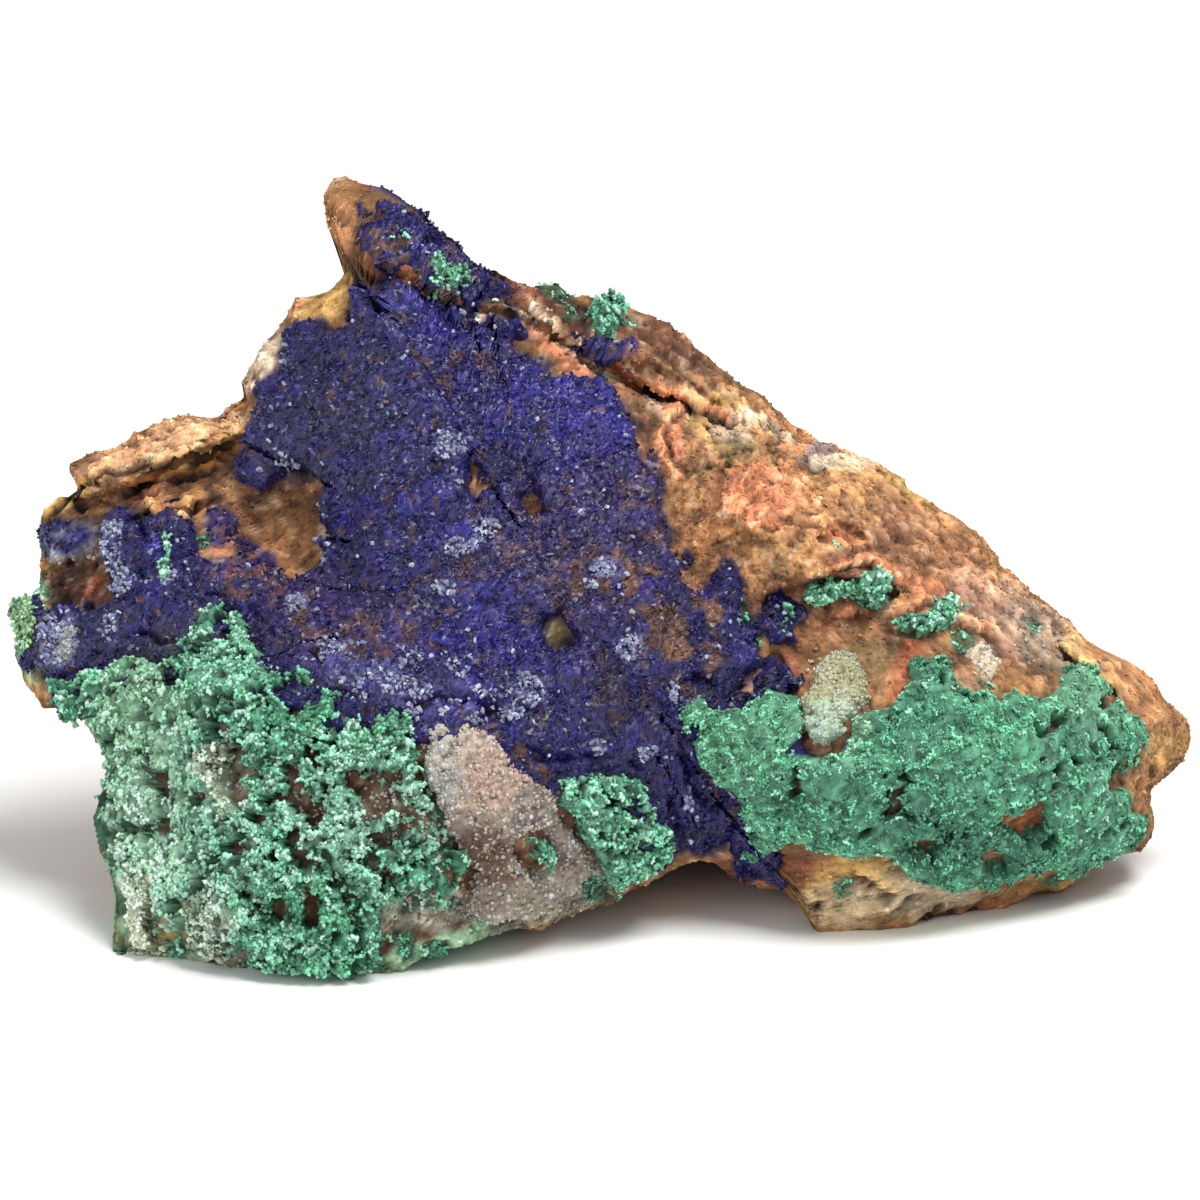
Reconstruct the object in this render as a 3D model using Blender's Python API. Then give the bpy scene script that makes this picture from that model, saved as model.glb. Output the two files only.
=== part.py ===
"""Azurite specimen: a broken lump of iron-stained rock, crusted with azurite and malachite.

The lump is described in the frame of its crystal face, in millimetres: across (to the right), up (up the
face) and out (towards whoever looks at it). The face leans back by LEAN. Every point of the lump has a place
on two discs that share their edge: the front disc carries the face, the back disc the broken rear. The place
on a disc is a bearing about HEART and a share of the way from HEART to the edge. The crusts are patches of
the front disc, lifted off the rock by SKIN_GAP.
"""

import math

import bpy
import numpy as np
from mathutils import Vector
from mathutils.geometry import delaunay_2d_cdt

MM = 0.001

# Driving dimensions, in millimetres.
LEAN = math.radians(20.0)  # how far the crystal face leans back from upright
FLOOR_DROP = 4.1  # height of the face frame's origin above the floor, turned round
CENTRE = (0.0, 8.22)  # middle of the lump's box on the floor, before it is moved to the origin
HEART = (-2.9, 26.1)  # where the bearings turn about, on the face
CORE_OUT = -3.0  # depth of the point that the underside closes towards
CORE_UP = 18.0
SHOULDER = 3.5  # power of the rounded edge: 2 is an ellipse, more is squarer
EDGE_REACH = (30.0, 13.0)  # half width and half depth that the rounded edge is laid out on
CALM_SPAN = 7  # degrees over which the outline's notches are evened out away from the edge
RAGGED_FROM = 0.55  # share of the way out from which the surface starts to follow those notches
SHEET_EASE = 2.0  # how far the sheet through the relief points may pass beside them
SKIN_GAP = 0.3  # clear gap between the rock and a crust
FINE, COARSE, REAR = 1.2, 1.8, 3.6  # spacing of points on crusts, bare rock and the rear
CORNER = 3.0  # how crisp the corners between the rear's fractures are
ROUGHNESS, ROUGH_SIZE = 0.55, 7.0  # height and width of the rock's own unevenness
REAR_ROUGHER = 2.2  # times as high on the rear
CLOSING = (0.3, 3.0)  # depths below the floor between which points start to be drawn in to the core
PAD_FADE = (0.9, 1.25)  # shares of a pad's half widths between which its flatness fades
HOLLOW, HOLLOW_SWING, HOLLOW_SIZE = 0.55, 0.35, 6.0  # height, unevenness and width of the rest of the underside
SEED = 7

OUTLINE = [  # the lump's edge as seen square to the face, clockwise from the peak
    (-18.3, 54.8), (-17.4, 54.8), (-16.3, 54.3), (-14.8, 54.1), (-13.8, 53.4), (-12, 52.2),
    (-11.2, 51), (-10.3, 50.7), (-9.3, 49.6), (-8.5, 48.6),
    (-7.3, 48.5), (-6.1, 47.6), (-4.7, 47.4), (-3.2, 47.7), (-2, 46.8), (0.6, 46.7), (2.4, 45.8),
    (4.4, 44.9), (5.5, 43.9),
    (7.1, 42.6), (8.9, 41), (11, 39.9), (12.7, 38.1), (14.6, 36.8), (16.9, 36.1), (18.5, 35.5),
    (20.4, 34.4), (21.1, 33.4), (22.3, 32.7),
    (24.4, 31.6), (26, 30.3), (27.1, 28.5), (29.4, 26.5), (31.5, 24.8), (33.1, 23.2), (35.8, 21.9),
    (37.1, 21), (38.4, 19.2),
    (39.9, 17.6), (40, 16.7), (39.5, 15.2), (38.5, 14.1), (37.3, 13.4), (37.2, 12.2), (37.5, 11),
    (37.4, 10), (36.6, 9),
    (35.1, 8.9), (33.4, 7.8), (32.3, 7.1), (31.1, 6.2), (29.8, 6.5), (28.1, 5.6), (26.7, 4.9),
    (25, 4.5),
    (22.4, 3.6), (21.3, 3), (19.2, 2.6), (17.3, 2.4), (16.4, 2.5), (15.4, 3.6), (13, 6.4), (10.6, 6.7),
    (8.7, 7.4), (7.6, 8.4),
    (6.3, 8.6), (4.7, 7.9), (3, 7), (0.3, 5.7), (-1.7, 5.2), (-4.2, 3.9), (-5.7, 4), (-7.5, 3.6),
    (-9.7, 2.8), (-11.8, 2.4),
    (-13.7, 1.2), (-15.4, 0.7), (-17.3, -0.1), (-18.5, -0.1), (-20.4, 0.3), (-22, 0.2), (-23.4, 0.7),
    (-24.5, 0.9), (-25.8, 0.5), (-27.4, 1.2),
    (-29.4, 1.4), (-31.4, 1.7), (-33, 2), (-32.8, 5.9), (-33.2, 7.9), (-33.9, 9.1), (-34.5, 11.2),
    (-34.2, 12.6), (-33.6, 13.7), (-33.6, 15.2),
    (-34.5, 16.8), (-35.2, 18.2), (-36.6, 18.9), (-38, 18.7), (-39.4, 20.8), (-40, 22.4),
    (-39.7, 24.2), (-39, 26.2), (-38.3, 26.9), (-38.1, 29.3), (-38.5, 30.7),
    (-38.1, 31.9), (-36.8, 33.1), (-35.5, 34), (-36.3, 34.8), (-36.3, 35.4), (-34.5, 36.2),
    (-33, 36.4), (-31.9, 37.4), (-29.9, 38.2), (-28.2, 38.7),
    (-27.3, 38.3), (-25.8, 38.6), (-25.7, 39.1), (-24.5, 39.6), (-24.3, 40.2), (-24.6, 40.9),
    (-23.8, 42.2), (-22.7, 43.9), (-21.6, 45.1), (-21, 46.4),
    (-18.5, 47.1), (-17.3, 48.5), (-17.5, 49.3), (-18.7, 51.4), (-19, 53.5),
]
HEEL = ((15.6, 4), 1.0, 1.3)  # the foot's heel turns back under: where, how far, how wide

# How far each named stretch of the front stands out: (across, up, out).
RELIEF = {
    "ridge": [
        (-17.8, 53.1, -3), (-17.1, 49.7, -2.5), (-13.7, 52.1, -4), (-9, 48.7, -4.5),
        (-2.9, 46.4, -4.5), (2.5, 44.7, -4.5), (7.9, 40.6, -4),
    ],
    "right slope": [
        (13.3, 36.9, -3), (18.1, 34.5, -3), (22.1, 31.5, -2.5), (26.9, 27.4, -2), (30.9, 24, -2),
        (35.7, 21, -2), (39.1, 16.9, -3),
        (5.9, 38.2, 0.5), (9.3, 36.2, 2.6), (12, 32.8, 5), (16.7, 32.8, 2.5), (18.7, 28.8, 4.2),
        (23.5, 27.4, 2), (28.2, 23.4, 1.8),
    ],
    "left shoulder": [
        (-20.5, 45.7, -3), (-23.9, 41.3, -3.5), (-24.6, 38.9, -3), (-30, 37.6, -4.5),
        (-34.7, 35.5, -5), (-37.4, 32.5, -4), (-39.1, 28.8, -5),
        (-39.3, 23.4, -5), (-38.1, 19.3, -2),
    ],
    "azurite face": [
        (-15.1, 46.4, -1), (-11, 43.7, 0), (-5.6, 40.9, 1.2), (-0.2, 38.2, 2), (3.9, 35.5, 2.8),
        (-18.5, 43, -0.5), (-21.9, 38.2, -0.5),
        (-17.8, 36.9, 1.8), (-12.4, 36.9, 3), (-5.6, 34.9, 4.2), (-0.2, 31.5, 5.5), (-15.1, 30.1, 5.6),
        (-8.3, 28.8, 7), (-1.6, 26.1, 7.6),
        (3.9, 27.4, 6.6), (-18.5, 24.7, 7.4), (-11.7, 22.7, 9.8), (-4.3, 20, 10), (2.5, 20, 8.3),
        (6.6, 22.7, 6.8), (6.6, 15.2, 6),
        (1.2, 13.2, 8), (6.6, 10.5, 3.8), (-23.9, 26.1, 4.5), (-30, 26.7, 1.8), (-35.4, 26.1, -1.8),
        (-36.8, 22.7, -1.8), (-33.4, 21.3, 1),
        (-27.3, 23.4, 5),
    ],
    "ochre hollow": [(-21.9, 31.5, 0), (-20.5, 28.1, 2.2), (-25.9, 32.8, -0.8), (-30, 31.5, -0.8)],
    "lower left": [
        (-26.3, 20, 8.5), (-24.6, 13.9, 11), (-23.6, 7.1, 12), (-18.5, 17.9, 12.2), (-17.1, 11.2, 13),
        (-17.1, 5.8, 12.6), (-10.4, 15.2, 12.4),
        (-10.4, 9.1, 11.8), (-2.9, 13.9, 10.4), (-2.9, 8.5, 9.4), (2.5, 9.1, 6.8), (-30.7, 15.2, 5),
        (-30, 9.1, 6.6), (-29.3, 4.4, 7.6),
    ],
    "foot line": [
        (-34, 16.6, 1.5), (-33.7, 13.2, 3), (-33.7, 9.8, 3.5), (-32.7, 5.8, 4.5), (-32.6, 2.4, 5.6),
        (-29.3, 2, 8), (-24.6, 1.4, 10.5),
        (-17.5, 0.7, 11), (-11.7, 3, 9.5), (-4.9, 4.5, 7.5), (0.5, 6.1, 5.5), (6.6, 9.1, 2.5),
        (10.6, 7.4, 1), (16, 3.4, 4),
        (20.1, 3.4, 3), (25.5, 5.4, 1.5), (30.9, 7.1, 0.5), (36.3, 9.8, -1),
    ],
    "right mass": [
        (7.9, 28.8, 4.8), (13.3, 28.8, 6), (15.4, 24.7, 5), (10.6, 23.4, 5.4), (15.4, 19.3, 6.5),
        (20.1, 22.7, 5.4), (10.6, 16.6, 7.2),
        (16, 13.9, 9), (22.1, 17.9, 8), (24.2, 12.5, 8.4), (30.9, 17.9, 4.2), (30.9, 12.5, 5.4),
        (35, 16.6, 2.2), (34.3, 11.2, 2.6),
        (18.1, 9.1, 7.6), (24.2, 8.5, 6), (29.6, 9.1, 4), (18.7, 5.8, 5.2), (13.3, 8.5, 4.6),
    ],
}
# Steps along a line: the left of the line is raised, the right dropped, and each fades over its reach.
LEDGES = [  # (line, raise, drop, reach of the raise, reach of the drop)
    ([(-36.9, 32.8), (-33.7, 33.4), (-30.7, 34.6), (-27.3, 36.1), (-23.9, 37.7)], 1.6, 2.6, 2.4, 1.8),
    ([(-34.6, 30.9), (-30.7, 32), (-28, 32.6), (-25.8, 33)], 0.9, 0.9, 0.8, 1.2),
    ([(-30.7, 36.1), (-28, 36.9), (-25.1, 38)], 0.5, 0.5, 1.4, 0.8),
    ([(-17.1, 49.1), (-14.6, 48.7), (-12.9, 47.9), (-10.2, 46.2), (-6.3, 45.7), (-1.9, 43.7),
      (1.7, 41.3), (3.5, 40.2)], 1.2, 0.9, 2.2, 1.8),
    ([(-0.2, 42.8), (3.2, 42.2), (6.6, 40.4), (9.4, 38.4)], 0.7, 0.5, 1.6, 1.2),
    ([(9.6, 25.7), (12, 27), (15.4, 27.7), (19.4, 27.1), (20.4, 25.8)], 0.7, 1.6, 1.5, 3.2),
    ([(14.1, 30), (15.7, 31.5), (17.5, 30.7), (18.2, 29)], 0.5, 0.7, 0.9, 0.9),
    ([(30.4, 23.4), (32.6, 21.7), (34.5, 20), (35.1, 18.2)], 0.8, 0.8, 1.6, 1.4),
    ([(9.4, 9.4), (12.7, 9.1), (16.7, 8.3), (20.1, 6.7), (24.2, 5.6), (29.6, 6.8)], 0.8, 1.1, 2.0, 2.2),
    ([(33.6, 14.1), (35.7, 14.6), (37.7, 15)], 0.5, 0.6, 1.2, 1.2),
    ([(-27.5, 26.3), (-26.3, 22), (-25.5, 15.2), (-24.7, 8.5), (-24.2, 1.7)], 0.5, -0.4, 1.6, 1.6),
]
GROOVES = [  # (line, depth, half width)
    ([(-1, 42.6), (1.5, 40.9), (3.9, 39.9), (6.2, 39.3)], 2.2, 0.45),
    ([(-17.5, 48.8), (-15.6, 48.1), (-14, 47.9)], 0.9, 0.5),
    ([(-20.5, 26.7), (-16.4, 26.1), (-11.7, 26.7)], 0.25, 0.6),
    ([(11.3, 23.4), (12.4, 20), (13.7, 16.2)], 0.9, 0.5),
    ([(16, 14.6), (18.1, 12.5), (19, 10.1)], 0.5, 0.45),
    ([(-14.1, 18.3), (-12.4, 13.9), (-9, 7.9), (-8.3, 3.7)], 0.7, 0.7),
]
BUMPS = [  # (place, half width, half height, height above its surroundings, squareness)
    ((-36.1, 26.9), 2.3, 2, -1.6, 4),
    ((-36.1, 26.9), 1.6, 1.4, 1.3, 4),
    ((-21.7, 30.9), 2.7, 3, -1.3, 4),
    ((-28.8, 31.5), 1.8, 0.8, 0.8, 2),
    ((9.6, 36.2), 2.3, 2.3, 1.0, 4),
    ((8.1, 37.2), 0.9, 0.9, -1.2, 2),
    ((5.9, 35.9), 1.1, 2.7, 0.9, 2),
    ((16.4, 34.7), 3.4, 1.2, 0.8, 2),
    ((16.7, 23.4), 3.9, 2.3, -0.9, 4),
    ((15.8, 19.3), 2.3, 3, 0.7, 4),
    ((16, 31.3), 1.2, 0.8, 0.9, 2),
    ((25.7, 21.5), 2, 1.5, 0.8, 4),
    ((37, 19.3), 1.6, 2, 0.6, 2),
    ((28.2, 11), 2, 1.2, -0.7, 4),
    ((-4.9, 32.1), 0.7, 0.8, -0.5, 2),
    ((-3.1, 23.9), 0.9, 1.2, -0.5, 2),
    ((-24.2, 13.5), 1.5, 2.4, -0.7, 4),
    ((-11.7, 5.3), 3, 1.5, -0.8, 4),
]
# The edge between front and back: how far out it lies at each bearing (degrees, out).
RIM = [
    (0, -8), (30, -7), (60, -7), (90, -6), (115, -4.5), (150, -5.5), (180, -6.5), (200, -2),
    (215, 4.5), (235, 8),
    (250, 9), (270, 4), (295, -1), (308, 1), (320, -2), (340, -6),
]
# The broken rear is the nearest of these flat fractures: (out at the frame's origin, slope across, slope up).
FRACTURES = [
    (-24.5, 0.02, 0.16), (-26.0, 0.30, 0.08), (-26.5, -0.36, 0.14), (-33.0, 0.14, 0.56),
    (-30.0, -0.20, 0.46),
    (-27.5, 0.22, 0.34),
]
REAR_LEDGES = [  # as LEDGES, on the rear
    ([(-36.0, 20.0), (-20.0, 25.0), (-6.0, 24.0), (6.0, 29.0)], 1.4, 1.2, 5.0, 4.0),
    ([(-24.0, 34.0), (-12.0, 37.0), (-4.0, 45.0)], 1.0, 1.2, 3.0, 3.0),
    ([(2.0, 12.0), (14.0, 20.0), (24.0, 19.0), (35.0, 13.0)], 1.3, 1.0, 4.0, 4.0),
    ([(-30.0, 8.0), (-18.0, 13.0), (-8.0, 8.0)], -0.9, -1.1, 4.0, 3.0),
]
PADS = [  # flat resting faces of the underside: (x, y, half width, half depth)
    (-24.0, -2.0, 8.0, 4.8), (-13.0, 17.0, 9.0, 4.6), (20.0, 3.5, 6.5, 4.2), (22.0, 14.5, 6.5, 4.2),
]


# ---------------------------------------------------------------- numbers on arrays of points


def smooth(value, low, high):
    """0 below low, 1 above high, an S-curve between."""
    share = np.clip((value - low) / (high - low), 0.0, 1.0)
    return share * share * (3.0 - 2.0 * share)


def corner_value(cells, seed):
    """A repeatable number from 0 to 1 for each whole-number cell."""
    mixed = cells[:, 0] * 73856093 ^ cells[:, 1] * 19349663 ^ cells[:, 2] * 83492791 ^ (seed * 40503 + 977)
    mixed = (mixed ^ (mixed >> 13)) & 0xFFFFFFFF
    mixed = (mixed * 1274126177) & 0xFFFFFFFF
    return ((mixed ^ (mixed >> 16)) & 0xFFFFFF) / float(0xFFFFFF)


def grain(points, seed):
    """Smooth noise from -1 to 1: corner values of unit cells, blended with a fifth-power curve."""
    cell = np.floor(points).astype(np.int64)
    part = points - cell
    part = part * part * part * (part * (part * 6.0 - 15.0) + 10.0)
    total = np.zeros(len(points))
    for corner in np.ndindex(2, 2, 2):
        weight = np.prod(np.where(corner, part, 1.0 - part), axis=1)
        total += weight * corner_value(cell + np.array(corner), seed)
    return total * 2.0 - 1.0


def layered_grain(points, size, layers, seed):
    """Noise whose broadest waves are size wide, each layer twice as fine and half as strong."""
    total = np.zeros(len(points))
    for layer in range(layers):
        total += grain(points * 2.03**layer / size + 17.3 * layer, seed + layer) * 0.5**layer
    return total


def beside_line(points, line):
    """Distance to a bent line, which side of it (+1 is left), and the share of its length passed."""
    line = np.array(line)
    steps = np.diff(line, axis=0)
    lengths = np.hypot(*steps.T)
    passed = np.r_[0.0, np.cumsum(lengths)]
    nearest, side, share = np.full(len(points), 1e9), np.ones(len(points)), np.zeros(len(points))
    for start, step, length, before in zip(line, steps, lengths, passed):
        away = points - start
        along = np.clip(away @ step / length**2, 0.0, 1.0)
        gap = np.hypot(*(away - along[:, None] * step).T)
        turn = np.sign(step[0] * away[:, 1] - step[1] * away[:, 0])
        closer = gap < nearest
        nearest = np.where(closer, gap, nearest)
        side = np.where(closer, turn, side)
        share = np.where(closer, (before + along * length) / passed[-1], share)
    return nearest, side, share


def fading_ends(share, end=0.14):
    """1 along a line, falling to 0 at its two ends."""
    return smooth(share, 0.0, end) * smooth(1.0 - share, 0.0, end)


# ---------------------------------------------------------------- the lump's surface


def edge_table():
    """Bearings and distances of the outline about HEART, six steps a side."""
    corners = np.array(OUTLINE)
    sides = np.roll(corners, -1, axis=0) - corners
    steps = np.arange(6)[None, :, None] / 6.0
    points = (corners[:, None] + sides[:, None] * steps).reshape(-1, 2) - np.array(HEART)
    bearing, reach = np.arctan2(points[:, 1], points[:, 0]), np.hypot(*points.T)
    order = np.argsort(bearing)
    return bearing[order], reach[order]


def shoulder_table():
    """Share of the way round the rounded edge against how far across and how far up its quarter curve is."""
    turn = np.linspace(0.0, math.pi / 2.0, 400)
    across, rise = np.sin(turn) ** (2.0 / SHOULDER), np.cos(turn) ** (2.0 / SHOULDER)
    walked = np.r_[0.0, np.cumsum(np.hypot(np.diff(across) * EDGE_REACH[0], np.diff(rise) * EDGE_REACH[1]))]
    return walked / walked[-1], across, rise


def thin_plate(gap2):
    """The thin-plate kernel of a squared distance."""
    return 0.5 * gap2 * np.log(np.maximum(gap2, 1e-9))


def fit_relief():
    """Weights of the smoothest sheet through all the relief points, slightly relaxed."""
    marks = np.array([mark for stretch in RELIEF.values() for mark in stretch], dtype=float)
    places, count = marks[:, :2], len(marks)
    gap2 = ((places[:, None] - places[None]) ** 2).sum(axis=2)
    system = np.zeros((count + 3, count + 3))
    system[:count, :count] = thin_plate(gap2) + SHEET_EASE * np.eye(count)
    system[:count, count] = system[count, :count] = 1.0
    system[:count, count + 1 :], system[count + 1 :, :count] = places, places.T
    return places, np.linalg.solve(system, np.r_[marks[:, 2], 0.0, 0.0, 0.0])


def calm_reach_table():
    """A smooth reach inside the outline: the least reach nearby, averaged over CALM_SPAN degrees."""
    bearing = np.radians(np.arange(360.0))
    reach = np.interp(bearing, BEARINGS, REACHES, period=2.0 * math.pi)
    span = range(-CALM_SPAN, CALM_SPAN + 1)
    least = np.min([np.roll(reach, turn) for turn in span], axis=0)
    return bearing, np.mean([np.roll(least, turn) for turn in span], axis=0)


BEARINGS, REACHES = edge_table()
CALM_BEARINGS, CALM_REACHES = calm_reach_table()
WALKED, ACROSS, RISE = shoulder_table()
SHEET_PLACES, SHEET_WEIGHTS = fit_relief()


def edge_reach(bearing):
    """Distance from HEART to the outline at a bearing."""
    return np.interp(bearing, BEARINGS, REACHES, period=2.0 * math.pi)


def steps_along(places, ledges):
    """Height of the steps along lines: raised on the left of each line, dropped on its right."""
    height = np.zeros(len(places))
    for line, lift, drop, reach_up, reach_down in ledges:
        gap, side, share = beside_line(places, line)
        signed = gap * side
        upper = lift * np.exp(-((np.maximum(signed, 0.0) / reach_up) ** 2))
        lower = -drop * np.exp(-((np.maximum(-signed, 0.0) / reach_down) ** 2))
        step = smooth(signed, -0.3, 0.3)
        height += fading_ends(share) * (lower * (1.0 - step) + upper * step)
    return height


def reach_across(bearing, share):
    """Distance from HEART of a share of the way to the edge: calm inside, true to the outline at the edge."""
    calm = np.interp(bearing, CALM_BEARINGS, CALM_REACHES, period=2.0 * math.pi)
    ragged = smooth(share, RAGGED_FROM, 1.0)
    return np.interp(share, WALKED, ACROSS) * (calm + (edge_reach(bearing) - calm) * ragged)


def front_out(places):
    """How far out the front stands at each place on the face: the sheet, then ledges, grooves and bumps."""
    gap2 = ((places[:, None] - SHEET_PLACES[None]) ** 2).sum(axis=2)
    count = len(SHEET_PLACES)
    out = thin_plate(gap2) @ SHEET_WEIGHTS[:count] + SHEET_WEIGHTS[count]
    out = out + places @ SHEET_WEIGHTS[count + 1 :] + steps_along(places, LEDGES)
    for line, depth, half_width in GROOVES:
        gap, _, share = beside_line(places, line)
        out = out - depth * np.exp(-((gap / half_width) ** 2)) * fading_ends(share)
    for place, half_wide, half_high, height, squareness in BUMPS:
        away2 = (((places - np.array(place)) / (half_wide, half_high)) ** 2).sum(axis=1)
        out = out + height * np.exp(-(away2 ** (squareness / 2.0)))
    return out


def back_out(places):
    """How far out the rear lies: the nearest of the flat fractures with its corners eased, then the steps."""
    flats = np.stack([start + across * places[:, 0] + up * places[:, 1] for start, across, up in FRACTURES])
    return np.log(np.exp(flats * CORNER).sum(axis=0)) / CORNER - steps_along(places, REAR_LEDGES)


def face_points(bearing, share):
    """Places in the face frame: shares of 0 to 1 are the front, from HEART to the edge, 1 to 2 the rear."""
    walked = np.where(share <= 1.0, share, 2.0 - share)
    rise = np.interp(walked, WALKED, RISE)
    reach = reach_across(bearing, walked)[:, None]
    places = np.array(HEART) + reach * np.stack([np.cos(bearing), np.sin(bearing)], axis=1)
    rim = np.interp(np.degrees(bearing) % 360.0, *zip(*RIM), period=360.0)
    surface = np.where(share <= 1.0, front_out(places), back_out(places))
    points = np.column_stack([places, rim + (surface - rim) * rise])
    heel_place, heel_shift, heel_width = HEEL
    near = np.exp(-((places - np.array(heel_place)) ** 2).sum(axis=1) / (2.0 * heel_width**2))
    points[:, 0] -= heel_shift * near
    rough = ROUGHNESS * layered_grain(points, ROUGH_SIZE, 3, SEED) * smooth(rise, 0.0, 0.45)
    points[:, 2] += np.where(share <= 1.0, rough, rough * REAR_ROUGHER)
    return points


def stand_up(points):
    """Face frame to the standing frame: the face leans back and its origin drops below the floor."""
    across, up, out = points.T
    sin, cos = math.sin(LEAN), math.cos(LEAN)
    return np.column_stack([across, up * sin - out * cos, up * cos + out * sin - FLOOR_DROP])


def close_underside(points):
    """Draws what lies below the floor in towards the core, leaving flat pads and shallow hollows between."""
    core = stand_up(np.array([[HEART[0], CORE_UP, CORE_OUT]]))[0]
    depth = np.maximum(-points[:, 2], 0.0)
    share = depth / (core[2] + depth) * smooth(depth, *CLOSING)
    closed = points + (core - points) * share[:, None]
    flat = np.zeros(len(points))
    for x, y, half_wide, half_deep in PADS:
        away = np.hypot((closed[:, 0] - x) / half_wide, (closed[:, 1] - y) / half_deep)
        flat = np.maximum(flat, 1.0 - smooth(away, *PAD_FADE))
    hollow = HOLLOW + HOLLOW_SWING * layered_grain(closed, HOLLOW_SIZE, 2, SEED + 40)
    hollow = hollow * smooth(depth, 0.4, 2.0) * (1.0 - flat)
    closed[:, 2] = np.where(depth > 0.0, np.maximum(hollow, 0.0), points[:, 2])
    return closed


def lump(bearing, share):
    """Points of the lump's surface, standing on the floor and centred on the origin."""
    points = close_underside(stand_up(face_points(bearing, share)))
    return points - np.array([CENTRE[0], CENTRE[1], 0.0])


# ---------------------------------------------------------------- crusts

COLOURS = {  # sRGB colour, roughness
    "limonite_rock": ((164, 122, 84), 0.9),
    "azurite": ((52, 48, 104), 0.55),
    "malachite": ((86, 146, 118), 0.8),
    "pale_druse": ((168, 158, 148), 0.75),
}
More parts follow.
